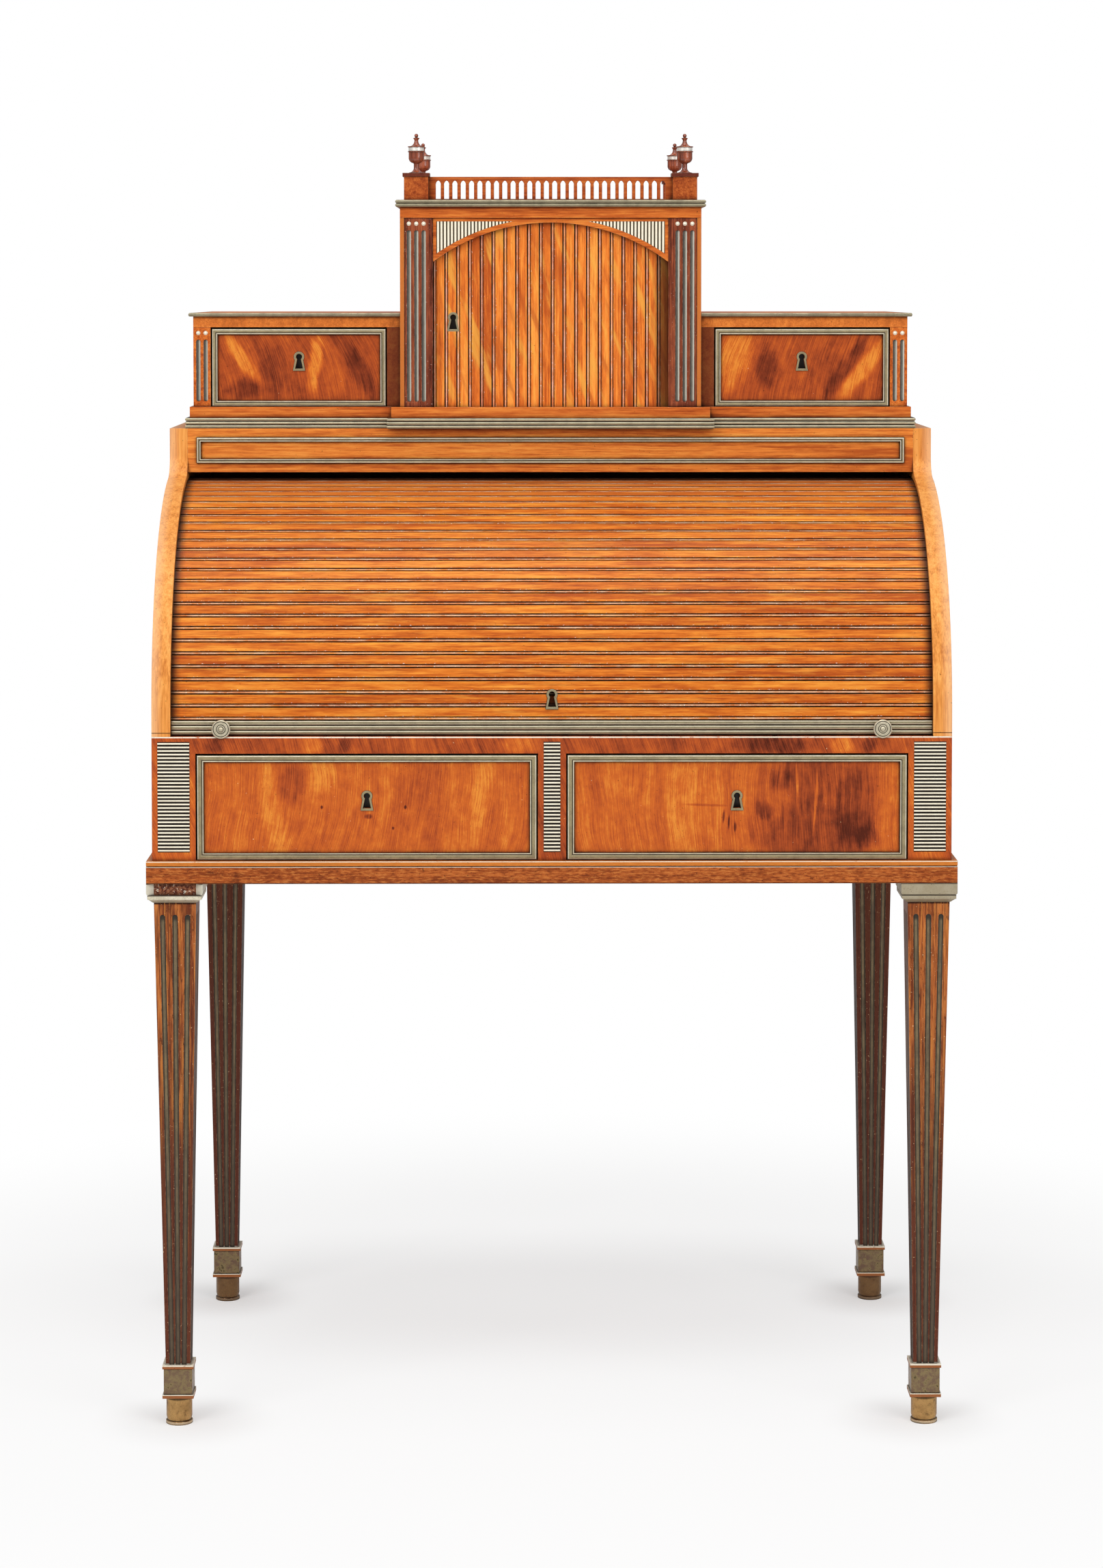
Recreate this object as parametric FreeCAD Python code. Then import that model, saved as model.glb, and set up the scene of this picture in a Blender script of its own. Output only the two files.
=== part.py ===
import FreeCAD, Part
import math
import os

Vec = FreeCAD.Vector
os.makedirs("parts", exist_ok=True)

# Cylinder desk on tapered legs with a drawer gallery above. Millimetres, +Z up, front towards -Y.
# The origin is on the floor under the middle of the apron.

# Driving dimensions: stand
APRON_WIDTH = 864.0
APRON_DEPTH = 550.0
APRON_HEIGHT = 19.0
APRON_LIP = 6.0
APRON_RAIL = 26.0
APRON_BOARD = 12.6
APRON_GROOVE = 0.9
APRON_GROOVE_DEPTH = 2.0
APRON_STRIP_DROP = 0.4
FOOT_HEIGHT = 30.0
FOOT_RADIUS = 14.4
FOOT_RIM = 3.0
FOOT_WAIST = 1.5
FOOT_COVE = 1.0
FOOT_SHOULDER = 4.0
FOOT_TAPER = 0.5
ANKLE_HEIGHT = 36.0
ANKLE_MOULDING = 33.4
ANKLE_BAND = 4.0
ANKLE_PANEL = 30.6
ANKLE_PLATE = 1.0
SHAFT_HEIGHT = 502.0
LEG_TOP = 45.0
LEG_BOTTOM = 26.4
REAR_LEG_INSET = 13.0
CAPITAL_WIDTH = 60.0
CAPITAL_PLATE = 7.5
CAPITAL_TUCK = 3.0
CAPITAL_PLATE_HEIGHT = 13.0
CAPITAL_STEP_HEIGHT = 4.0
CAPITAL_FILLET = 6.4
CAPITAL_FILLET_LIP = 0.8
CAPITAL_COVE = 0.8
FLUTE_WIDTH_TOP = 5.6
FLUTE_WIDTH_BOTTOM = 5.3
FLUTE_PITCH_TOP = 13.6
FLUTE_PITCH_BOTTOM = 6.6
FLUTE_DEPTH = 2.4
FLUTE_SAG = 1.6
FLUTE_TOP_MARGIN = 16.0

# Driving dimensions: base case
BOARD = 20.0
BACK_THICKNESS = 12.0
POST_WIDTH = 46.5
POST_DEPTH = 30.0
STILE_WIDTH = 30.0
RAIL_DEPTH = 24.0
BOTTOM_RAIL = 5.4
BASE_DRAWER_OPENING = 114.2
UPPER_RAIL = 18.0
PARTITION = 16.0
GUIDE_HEIGHT = 40.0
RUNNER_WIDTH = 22.0
CORNER_PANEL_WIDTH = 34.0
CENTRE_PANEL_WIDTH = 17.6
PANEL_MARGIN = 5.5
PANEL_FOOT = 14.0
PANEL_RECESS = 1.5
RIB_PITCH = 3.85
RIB_RISE = 1.5

# Driving dimensions: cylinder
AXIS_SETBACK = 253.0
AXIS_RISE = 18.0
TAMBOUR_SETBACK = 7.0
SLAT_PITCH = 14.0
SLAT_THICKNESS = 11.0
SLAT_GAP = 1.0
SLAT_BEAD = 2.4
SLAT_BEAD_DROP = 1.2
SLAT_QUIRK = 1.0
SLAT_COUNT = 29
SLAT_TONGUE = 6.0
CANVAS = 1.0
CANVAS_GAP = 0.05
CANVAS_END = 0.5
RAIL_HEIGHT = 16.6
RAIL_GAP = 0.5
RAIL_BRASS = 3.0
RAIL_REEDS = 3
KNOB_INSET = 54.0
KNOB_RADIUS = 10.0
KNOB_STEM = 3.5
KNOB_CLEARANCE = 0.6
KNOB_DISC = 3.2
KNOB_EDGE = 0.8
KNOB_RIM = 1.4
KNOB_RING = 5.2
KNOB_GROOVE = 0.5
KNOB_BUTTON = 2.6
KNOB_BOSS = 2.0
FRIEZE_SETBACK = 220.0
FRIEZE_GAP = 7.0
FRIEZE_HEIGHT = 49.0
FRIEZE_THICKNESS = 16.0
FRIEZE_TRIM_WIDTH = 5.0
FRIEZE_TRIM_INSET = 10.0
OGEE_RADIUS = 25.0
TRACK_CLEARANCE = 0.6
CYLINDER_KEY_RISE = 26.0

# Driving dimensions: drawers and locks
DRAWER_GAP = 1.3
SEAT_GAP = 0.3
DRAWER_TOP_GAP = 1.7
DRAWER_INSET = 3.0
DRAWER_FRONT = 18.0
DRAWER_SIDE = 10.0
DRAWER_BOTTOM = 6.0
BASE_DRAWER_ROOM = 79.0
WING_DRAWER_ROOM = 30.0
DRAWER_BOX_DROP = 14.0
BASE_TRIM_WIDTH = 7.5
WING_TRIM_WIDTH = 6.5
TRIM_BASE = 2.4
TRIM_CROWN = 0.9
TRIM_BEAD = 1.9
TRIM_BEAD_RISE = 0.75
REED_SHAPE = 0.45
KEY_RISE = 12.0
LOCK_WIDTH = 44.0
LOCK_DEPTH = 9.0
LOCK_TAIL = 20.0
LOCK_STANDOFF = 2.5
BOLT_WIDTH = 18.0
BOLT_THICKNESS = 4.0
BOLT_HEIGHT = 14.0
BOLT_THROW = 8.0
BOLT_CLEARANCE = 0.08
ESCUTCHEON_PROUD = 0.8
KEYHOLE_HEAD = 3.4
KEYHOLE_WAIST = 2.2
KEYHOLE_FOOT = 4.4
KEYHOLE_DROP = 13.2
ESCUTCHEON_RIM = 2.4

# Driving dimensions: nest behind the cylinder
NEST_DEPTH = 176.0
NEST_CLEARANCE = 3.0
NEST_BOARD = 7.0
NEST_END_GAP = 0.5
NEST_BAY = 270.0
NEST_DRAWER_HEIGHT = 48.0
NEST_KNOB = 6.0
NEST_KNOB_STEM = 3.0
NEST_KNOB_NECK = 5.0
NEST_KNOB_DISC = 5.0

# Driving dimensions: superstructure
UPPER_INSET = 26.0
UPPER_SETBACK = 229.0
UPPER_BACK_SETBACK = 20.0
PLINTH_HEIGHT = 24.0
PLINTH_LIP = 4.0
BREAK_WIDTH = 356.0
BREAK_FORWARD = 16.0
PLINTH_MOULDING = 12.0
PLINTH_REEDS = 3
MOULDING_BASE = 3.0
WING_OPENING = 89.0
WING_SIDE = 19.4
WING_TOP = 16.0
CORNICE_HEIGHT = 4.0
CORNICE_PROUD = 5.0
CORNICE_REEDS = 1
CORNICE_RISE = 1.0
CABINET_WIDTH = 336.0
CABINET_SIDE = 12.5
CABINET_HEIGHT = 211.0
CABINET_TOP = 20.0
CABINET_CORNICE = 8.0
CABINET_CORNICE_REEDS = 2
CABINET_CORNICE_RISE = 1.8
PARTITION_WING = 15.2
PILASTER_WIDTH = 36.5
PILASTER_EDGE = 4.6
PILASTER_SINK = 1.0
PILASTER_THIN = 10.0
PILASTER_THICK = 26.0
PILASTER_FLUTE = 4.7
PILASTER_PITCH = 8.2
PILASTER_FLUTE_DEPTH = 2.2
PILASTER_SAG = 1.5
STUD_SINK = 1.2
PILASTER_MARGIN = 6.0
STUD_DROP = 6.5
STUD_TO_FLUTE = 5.0
ARCH_RISE = 44.0
ARCH_BAND = 5.2
ARCH_THICKNESS = 8.0
ARCH_INSET = 2.0
SPANDREL_MARGIN = 4.0
SPANDREL_RECESS = 2.5
SPANDREL_PITCH = 3.9
SHUTTER_SLATS = 20
SHUTTER_PITCH = 13.2
SHUTTER_JOINT = 1.0
SHUTTER_THICKNESS = 8.0
SHUTTER_GAP = 0.5
SHUTTER_GROOVE = 4.0
SHUTTER_BEAD = 2.4
SHUTTER_KEY_X = 22.0
SHUTTER_KEY_Z = 100.0
GALLERY_HEIGHT = 26.0
GALLERY_THICKNESS = 5.0
GALLERY_PITCH = 9.3
LANCET_WIDTH = 5.5
LANCET_HEIGHT = 20.5
LANCET_SILL = 1.4
POST_SIZE = 27.0
POST_CAP = 4.0
POST_CAP_LIP = 1.6
POST_INSET = 18.0
FINIAL_FOOT = 8.4
FINIAL_FOOT_EDGE = 0.8
FINIAL_STEM = 2.9
FINIAL_STEM_HEIGHT = 10.4
FINIAL_COLLAR = 0.8
FINIAL_BOWL = 8.6
FINIAL_BOWL_CURVE = 6.6
FINIAL_BOWL_HEIGHT = 12.4
FINIAL_RIM = 9.5
FINIAL_RIM_HEIGHT = 1.0
FINIAL_BAND = 1.0
FINIAL_BAND_HEIGHT = 4.4
FINIAL_LID = 7.4
FINIAL_LID_HEIGHT = 7.2
FINIAL_NECK = 2.3
FINIAL_NECK_HEIGHT = 2.0
FINIAL_BALL = 2.2

# Levels
Z_ANKLE = FOOT_HEIGHT
Z_SHAFT = Z_ANKLE + ANKLE_HEIGHT
Z_CAPITAL = Z_SHAFT + SHAFT_HEIGHT
Z_PLATE = Z_CAPITAL + 2 * CAPITAL_STEP_HEIGHT
Z_APRON = Z_PLATE + CAPITAL_PLATE_HEIGHT
Z_CASE = Z_APRON + APRON_HEIGHT
Z_DRAWER = Z_CASE + BOTTOM_RAIL
Z_RAIL = Z_DRAWER + BASE_DRAWER_OPENING
Z_WRITING = Z_RAIL + UPPER_RAIL
Z_AXIS = Z_WRITING + AXIS_RISE
TAMBOUR_R = AXIS_SETBACK - TAMBOUR_SETBACK
TAMBOUR_IN = TAMBOUR_R - SLAT_THICKNESS
Z_FRIEZE = Z_AXIS + TAMBOUR_R + FRIEZE_GAP
Z_TOP = Z_FRIEZE + FRIEZE_HEIGHT
Z_WING = Z_TOP + PLINTH_HEIGHT
Z_WING_TOP = Z_WING + WING_OPENING
Z_CABINET = Z_WING + CABINET_HEIGHT
Z_GALLERY = Z_CABINET + CABINET_TOP
Z_FINIAL = Z_GALLERY + GALLERY_HEIGHT + POST_CAP

# Plan
HALF_APRON = APRON_WIDTH / 2
HALF_CASE = HALF_APRON - APRON_LIP
INNER = HALF_CASE - BOARD
Y_APRON = -APRON_DEPTH / 2
Y_BACK = APRON_DEPTH / 2
Y_CASE = Y_APRON + APRON_LIP
Y_PANEL = Y_BACK - BACK_THICKNESS
Y_AXIS = Y_CASE + AXIS_SETBACK
Y_FRIEZE = Y_CASE + FRIEZE_SETBACK
Y_UPPER = Y_CASE + UPPER_SETBACK
Y_CABINET = Y_UPPER - BREAK_FORWARD
Y_UPPER_BACK = Y_BACK - UPPER_BACK_SETBACK
Y_UPPER_PANEL = Y_UPPER_BACK - BACK_THICKNESS
HALF_STILE = STILE_WIDTH / 2
X_POST = HALF_CASE - POST_WIDTH
HALF_UPPER = HALF_CASE - UPPER_INSET
HALF_CABINET = CABINET_WIDTH / 2
X_CABINET_IN = HALF_CABINET - CABINET_SIDE
X_PILASTER = HALF_CABINET - PILASTER_WIDTH
X_WING = HALF_CABINET + PARTITION_WING
X_WING_END = HALF_UPPER - WING_SIDE
X_DIR = Vec(1, 0, 0)
FRONT = Vec(0, -1, 0)
UP = Vec(0, 0, 1)


def box(x0, x1, y0, y1, z0, z1):
    return Part.makeBox(x1 - x0, y1 - y0, z1 - z0, Vec(x0, y0, z0))


def mirrored(shape):
    return shape.mirror(Vec(0, 0, 0), X_DIR)


def both_sides(shape):
    return [shape, mirrored(shape)]


def moved(shape, offset):
    copy = shape.copy()
    copy.translate(offset)
    return copy


def line(a, b):
    return Part.LineSegment(a, b).toShape()


def arc(a, middle, b):
    return Part.Arc(a, middle, b).toShape()


def quarter(a, b, corner):
    """Arc from a to b that leans into the corner between them."""
    centre = a + b - corner
    return arc(a, centre + (a + b - centre * 2) * math.sqrt(0.5), b)


def sagged(half, sag):
    """Radius of the round hollow that is this deep across twice this half width."""
    return (half ** 2 + sag ** 2) / (2 * sag)


def polygon(points):
    return Part.makePolygon(points + points[:1])


def prism(wire, sweep):
    return Part.Face(wire).extrude(sweep)


def hexahedron(low, high):
    """Solid between two four-cornered outlines joined by flat sides."""
    faces = [Part.Face(polygon(low)), Part.Face(polygon(high))]
    for i in range(4):
        j = (i + 1) % 4
        faces.append(Part.Face(polygon([low[i], low[j], high[j], high[i]])))
    solid = Part.makeSolid(Part.makeShell(faces))
    return solid if solid.Volume > 0 else solid.reversed()


def turned(points, centre, axis):
    """Solid of revolution about an axis; points are (radius, height) pairs from the axis and back to it."""
    side = Vec(1, 0, 0) if abs(axis.x) < 0.5 else Vec(0, 1, 0)
    wire = polygon([centre + side * r + axis * h for r, h in points])
    return Part.Face(wire).revolve(centre, axis, 360)


def on_cylinder(shape, angle):
    """Carry a shape made at the front of the cylinder up round its axis."""
    copy = shape.copy()
    copy.rotate(Vec(0, Y_AXIS, Z_AXIS), Vec(-1, 0, 0), math.degrees(angle))
    return copy


def save(node, shapes):
    shape = shapes[0] if len(shapes) == 1 else Part.makeCompound(shapes)
    shape.exportStep("parts/" + node + ".step")


def even_reeds(width, count, rise):
    return [(width / count, rise)] * count


def reeded_wire(place, base, reeds):
    """Closed section of a strip with (width, rise) reeds; place maps (across, outwards) to a point."""
    width = sum(step for step, _ in reeds)
    edges = [line(place(0, base), place(0, 0)),
             line(place(0, 0), place(width, 0)),
             line(place(width, 0), place(width, base))]
    end = width
    for step, rise in reversed(reeds):
        edges.append(arc(place(end, base), place(end - step / 2, base + rise), place(end - step, base)))
        end -= step
    return Part.Wire(edges)


def frame_strips(x0, x1, z0, z1, y_face, width):
    """Four mitred strips round a rectangle on a front face, each a wide reed with a thin bead inside it."""
    corners = [Vec(x0, y_face, z0), Vec(x1, y_face, z0), Vec(x1, y_face, z1), Vec(x0, y_face, z1)]
    inward = [Vec(1, 0, 1), Vec(-1, 0, 1), Vec(-1, 0, -1), Vec(1, 0, -1)]
    reeds = [(width - TRIM_BEAD, TRIM_CROWN), (TRIM_BEAD, TRIM_BEAD_RISE)]
    strips = []
    for i in range(4):
        j = (i + 1) % 4
        start, end = corners[i], corners[j]
        across_dir = (inward[i] + inward[j]) * 0.5

        def place(across, out, start=start, across_dir=across_dir):
            return start + across_dir * across + FRONT * out
        bar = prism(reeded_wire(place, TRIM_BASE, reeds), end - start)
        mitre = polygon([start, end, end + inward[j] * width, start + inward[i] * width])
        strips.append(bar.common(prism(mitre, FRONT * (TRIM_BASE + TRIM_CROWN))))
    return strips


def moulding_strips(path, z0, height, base, reeds, rise):
    """Reeded strips along an open plan path, mitred at its corners; outwards is to its right."""
    points = [Vec(x, y, z0) for x, y in path]
    alongs = [(b - a).normalize() for a, b in zip(points, points[1:])]
    normals = [Vec(along.y, -along.x, 0) for along in alongs]
    mitres = [normals[0]]
    for a, b in zip(normals, normals[1:]):
        mitres.append((a + b) * (1 / (1 + a.dot(b))))
    mitres.append(normals[-1])
    reach = base + rise
    strips = []
    for i, along in enumerate(alongs):
        start, end = points[i], points[i + 1]

        def place(across, out, start=start, along=along, normal=normals[i]):
            return start - along * reach + UP * across + normal * out
        bar = prism(reeded_wire(place, base, even_reeds(height, reeds, rise)), end - start + along * 2 * reach)
        mitre = polygon([start, end, end + mitres[i + 1] * reach, start + mitres[i] * reach])
        strips.append(bar.common(prism(mitre, UP * height)))
    return strips


def keyhole_wire(x, y, z, grow):
    """Outline of a keyhole, or of its escutcheon when grown."""
    head = KEYHOLE_HEAD + grow
    waist = KEYHOLE_WAIST + grow
    foot = KEYHOLE_FOOT + grow
    low = z - KEYHOLE_DROP - grow
    shoulder = z - math.sqrt(head ** 2 - waist ** 2)
    right, left = Vec(x + waist, y, shoulder), Vec(x - waist, y, shoulder)
    foot_right, foot_left = Vec(x + foot, y, low), Vec(x - foot, y, low)
    return Part.Wire([line(right, foot_right), line(foot_right, foot_left), line(foot_left, left),
                      arc(left, Vec(x, y, z + head), right)])


def keyhole(x, y_face, z, depth):
    return prism(keyhole_wire(x, y_face - ESCUTCHEON_PROUD, z, 0), Vec(0, depth + ESCUTCHEON_PROUD, 0))


def escutcheon(x, y_face, z):
    plate = prism(keyhole_wire(x, y_face - ESCUTCHEON_PROUD, z, ESCUTCHEON_RIM), Vec(0, ESCUTCHEON_PROUD, 0))
    return plate.cut(keyhole(x, y_face, z, ESCUTCHEON_PROUD))


# Stand: legs, flutes, capitals, sabots

def square(size, z):
    h = size / 2
    return [Vec(-h, -h, z), Vec(h, -h, z), Vec(h, h, z), Vec(-h, h, z)]


def tapered(bottom, top, z):
    """Value at height z of a size that runs evenly from the bottom to the top of the shaft."""
    return bottom + (top - bottom) * (z - Z_SHAFT) / SHAFT_HEIGHT


class Flute:
    """One flute on the leg's front face: its place, width and hollow at any height."""

    def __init__(self, index):
        self.index = index

    def centre(self, z):
        return self.index * tapered(FLUTE_PITCH_BOTTOM, FLUTE_PITCH_TOP, z)

    def half(self, z):
        return tapered(FLUTE_WIDTH_BOTTOM, FLUTE_WIDTH_TOP, z) / 2

    def face(self, z):
        return -tapered(LEG_BOTTOM, LEG_TOP, z) / 2

    def bar(self, z0, z1, proud):
        """The flute's channel, standing proud of the face, with a round upper end."""
        ends = []
        for z in (z0, z1):
            x, h, y = self.centre(z), self.half(z), self.face(z)
            ends.append([Vec(x - h, y - proud, z), Vec(x + h, y - proud, z),
                         Vec(x + h, y + FLUTE_DEPTH, z), Vec(x - h, y + FLUTE_DEPTH, z)])
        tip_end = Vec(self.centre(z1), self.face(z1) - proud, z1)
        tip = Part.makeCylinder(self.half(z1), FLUTE_DEPTH + proud, tip_end, Vec(0, 1, 0))
        return hexahedron(*ends).fuse(tip)

    def hollow(self, z0, z1):
        """Cone that hollows the lining down to the sag."""
        radii, points = [], []
        for z in (z0, z1):
            radius = sagged(self.half(z), FLUTE_SAG)
            radii.append(radius)
            points.append(Vec(self.centre(z), self.face(z) - radius + FLUTE_SAG, z))
        axis = points[1] - points[0]
        return Part.makeCone(radii[0], radii[1], axis.Length, points[0], axis)


def make_leg():
    """One leg about its own axis, with its brass flute linings."""
    shaft = hexahedron(square(LEG_BOTTOM, Z_SHAFT), square(LEG_TOP, Z_CAPITAL))
    half_core = CAPITAL_WIDTH / 2 - CAPITAL_PLATE
    core = box(-half_core, half_core, -half_core, half_core, Z_PLATE, Z_APRON)
    half_neck = LEG_TOP / 2
    neck = box(-half_neck, half_neck, -half_neck, half_neck, Z_CAPITAL, Z_PLATE)
    half_ankle = ANKLE_PANEL / 2 - ANKLE_PLATE
    half_band = ANKLE_MOULDING / 2
    ankle = box(-half_ankle, half_ankle, -half_ankle, half_ankle, Z_ANKLE, Z_SHAFT)
    bands = [box(-half_band, half_band, -half_band, half_band, z, z + ANKLE_BAND)
             for z in (Z_ANKLE, Z_SHAFT - ANKLE_BAND)]
    z_end = Z_CAPITAL - FLUTE_TOP_MARGIN
    grooves, linings = [], []
    for flute in (Flute(-1), Flute(0), Flute(1)):
        groove = flute.bar(Z_SHAFT, z_end, FLUTE_DEPTH)
        lining = flute.bar(Z_SHAFT, z_end, 0).cut(flute.hollow(Z_ANKLE, Z_CAPITAL))
        for quarter in range(4):
            for shape, group in ((groove, grooves), (lining, linings)):
                copy = shape.copy()
                copy.rotate(Vec(0, 0, 0), UP, 90 * quarter)
                group.append(copy)
    shaft = shaft.cut(grooves)
    return shaft.fuse([neck, core, ankle] + bands).removeSplitter(), linings


def capital_plate():
    """Brass plate on the front of the leg's head, tucked in below and mitred at both ends."""
    half = CAPITAL_WIDTH / 2
    inner = half - CAPITAL_PLATE
    back_low, foot = Vec(-half, -inner, Z_PLATE), Vec(-half, CAPITAL_TUCK - half, Z_PLATE)
    belly, top = Vec(-half, -half, Z_PLATE + CAPITAL_TUCK), Vec(-half, -half, Z_APRON)
    back_top = Vec(-half, -inner, Z_APRON)
    section = Part.Wire([line(back_low, foot), quarter(foot, belly, Vec(-half, -half, Z_PLATE)),
                         line(belly, top), line(top, back_top), line(back_top, back_low)])
    mitre = polygon([Vec(-half, -half, Z_PLATE), Vec(half, -half, Z_PLATE), Vec(inner, -inner, Z_PLATE),
                     Vec(-inner, -inner, Z_PLATE)])
    return prism(section, X_DIR * CAPITAL_WIDTH).common(prism(mitre, UP * CAPITAL_PLATE_HEIGHT))


def make_capital(front_plate):
    """Brass plates round the leg's head over a brass fillet with a sloping underside."""
    plates = []
    for quarter_turn in range(0 if front_plate else 1, 4):
        plate = capital_plate()
        plate.rotate(Vec(0, 0, 0), UP, 90 * quarter_turn)
        plates.append(plate)
    neck, reach = LEG_TOP / 2, LEG_TOP / 2 + CAPITAL_FILLET
    z_fillet = Z_CAPITAL + CAPITAL_STEP_HEIGHT
    slope = hexahedron(square(2 * (neck + CAPITAL_COVE), Z_CAPITAL),
                       square(2 * (reach - CAPITAL_FILLET_LIP), z_fillet))
    fillet = box(-reach, reach, -reach, reach, z_fillet, Z_PLATE)
    bore = box(-neck, neck, -neck, neck, Z_CAPITAL, Z_PLATE)
    return plates + [slope.fuse(fillet).cut(bore).removeSplitter()]


def make_sabot():
    """Brass plates on the four faces of the ankle, and the cup under it."""
    half = ANKLE_PANEL / 2
    core = half - ANKLE_PLATE
    z0, z1 = Z_ANKLE + ANKLE_BAND, Z_SHAFT - ANKLE_BAND
    plates = [box(-half, half, -half, -core, z0, z1), box(-half, half, core, half, z0, z1),
              box(-half, -core, -core, core, z0, z1), box(core, half, -core, core, z0, z1)]
    z_waist = FOOT_RIM + FOOT_COVE
    barrel = FOOT_RADIUS - FOOT_TAPER
    cup = turned([(0, 0), (FOOT_RADIUS, 0), (FOOT_RADIUS, FOOT_RIM), (FOOT_RADIUS - FOOT_WAIST, z_waist),
                  (barrel, z_waist + FOOT_SHOULDER), (barrel, FOOT_HEIGHT), (0, FOOT_HEIGHT)], Vec(0, 0, 0), UP)
    return plates + [cup]


leg_x = HALF_APRON - CAPITAL_WIDTH / 2
leg_y = Y_BACK - CAPITAL_WIDTH / 2
LEG_PLACES = {
    "front_left": Vec(-leg_x, -leg_y, 0),
    "front_right": Vec(leg_x, -leg_y, 0),
    "rear_left": Vec(-leg_x + REAR_LEG_INSET, leg_y, 0),
    "rear_right": Vec(leg_x - REAR_LEG_INSET, leg_y, 0),
}
leg, linings = make_leg()
leg_flutes, leg_capitals, sabots = [], [], []
for corner, place in LEG_PLACES.items():
    save("leg_" + corner, [moved(leg, place)])
    leg_flutes += [moved(lining, place) for lining in linings]
    leg_capitals += [moved(shape, place) for shape in make_capital(corner != "front_left")]
    sabots += [moved(shape, place) for shape in make_sabot()]
save("leg_flutes", leg_flutes)
save("leg_capitals", leg_capitals)
save("sabots", sabots)

# Base case

rail_in = HALF_APRON - APRON_RAIL
y_rail_in = Y_APRON + APRON_RAIL
z_groove = Z_CASE - APRON_GROOVE
side_groove = box(HALF_APRON - APRON_GROOVE_DEPTH, HALF_APRON, Y_APRON, Y_BACK, z_groove, Z_CASE)
grooves = [box(-HALF_APRON, HALF_APRON, Y_APRON, Y_APRON + APRON_GROOVE_DEPTH, z_groove, Z_CASE)]
grooves += both_sides(side_groove)
z_strip = Z_DRAWER - APRON_STRIP_DROP
save("apron_frame", [
    box(-HALF_APRON, HALF_APRON, Y_APRON, y_rail_in, Z_APRON, Z_CASE).cut(grooves),
    box(-rail_in, rail_in, y_rail_in, Y_BACK, Z_CASE - APRON_BOARD, Z_CASE),
    box(-HALF_APRON, HALF_APRON, Y_APRON, Y_CASE, Z_CASE, z_strip),
] + both_sides(box(rail_in, HALF_APRON, y_rail_in, Y_BACK, Z_APRON, Z_CASE).cut(side_groove))
    + both_sides(box(HALF_CASE, HALF_APRON, Y_CASE, Y_BACK, Z_CASE, z_strip)))

y_post_back = Y_CASE + POST_DEPTH
y_rail_back = Y_CASE + RAIL_DEPTH
save("base_sides", both_sides(box(INNER, HALF_CASE, y_post_back, Y_PANEL, Z_CASE, Z_WRITING)))
save("back_panel", [box(-HALF_CASE, HALF_CASE, Y_PANEL, Y_BACK, Z_CASE, Z_TOP)])

drawer_x = (HALF_STILE + X_POST) / 2
bolt_y = Y_CASE + DRAWER_INSET + DRAWER_FRONT - LOCK_DEPTH / 2
mortise_half = BOLT_WIDTH / 2 + BOLT_CLEARANCE
mortise_back = BOLT_THICKNESS / 2 + BOLT_CLEARANCE


def drawer_mortise(x, y, z):
    return box(x - mortise_half, x + mortise_half, y - mortise_back, y + mortise_back, z, z + BOLT_THROW)


panel_z0, panel_z1 = Z_CASE + PANEL_FOOT, Z_WRITING - PANEL_MARGIN
post_mid = (X_POST + HALF_CASE) / 2


def panel_bed(x, width):
    return box(x - width / 2, x + width / 2, Y_CASE, Y_CASE + PANEL_RECESS, panel_z0, panel_z1)


def ribbed_panel(x, width):
    """Brass plate with horizontal ribs, let into the front."""
    height = panel_z1 - panel_z0

    def place(across, out):
        return Vec(x - width / 2, Y_CASE + PANEL_RECESS - out, panel_z0 + across)
    ribs = int(round(height / RIB_PITCH))
    return prism(reeded_wire(place, PANEL_RECESS / 2, even_reeds(height, ribs, RIB_RISE)), X_DIR * width)


post = box(X_POST, HALF_CASE, Y_CASE, y_post_back, Z_CASE, Z_WRITING)
post = post.cut(panel_bed(post_mid, CORNER_PANEL_WIDTH))
stile = box(-HALF_STILE, HALF_STILE, Y_CASE, y_rail_back, Z_CASE, Z_WRITING)
stile = stile.cut(panel_bed(0, CENTRE_PANEL_WIDTH))
upper_rail = box(HALF_STILE, X_POST, Y_CASE, y_rail_back, Z_RAIL, Z_WRITING)
upper_rail = upper_rail.cut(drawer_mortise(drawer_x, bolt_y, Z_RAIL))
lower_rail = box(HALF_STILE, X_POST, Y_CASE, y_rail_back, Z_CASE, Z_DRAWER)
save("face_frame", both_sides(post) + [stile] + both_sides(upper_rail) + both_sides(lower_rail))

guide = box(X_POST, INNER, y_post_back, Y_PANEL, Z_CASE, Z_DRAWER + GUIDE_HEIGHT)
inner_runner = box(PARTITION / 2, HALF_STILE + RUNNER_WIDTH, y_rail_back, Y_PANEL, Z_CASE, Z_DRAWER)
outer_runner = box(X_POST - RUNNER_WIDTH, X_POST, y_rail_back, Y_PANEL, Z_CASE, Z_DRAWER)
save("drawer_guides", [box(-PARTITION / 2, PARTITION / 2, y_rail_back, Y_PANEL, Z_CASE, Z_RAIL)]
     + both_sides(guide) + both_sides(inner_runner) + both_sides(outer_runner))

# Cylinder lock: its bolt drops into the writing board
lock_y = Y_AXIS - TAMBOUR_IN + CANVAS + LOCK_STANDOFF
cylinder_bolt_y = lock_y + LOCK_DEPTH / 2
board_mortise = box(-mortise_half, mortise_half, cylinder_bolt_y - mortise_back, cylinder_bolt_y + mortise_back,
                    Z_WRITING - BOLT_THROW, Z_WRITING)
save("writing_board", [box(-INNER, INNER, y_rail_back, Y_PANEL, Z_RAIL, Z_WRITING).cut(board_mortise)
                       .cut(both_sides(box(X_POST, INNER, y_rail_back, y_post_back, Z_RAIL, Z_WRITING)))])


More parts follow.
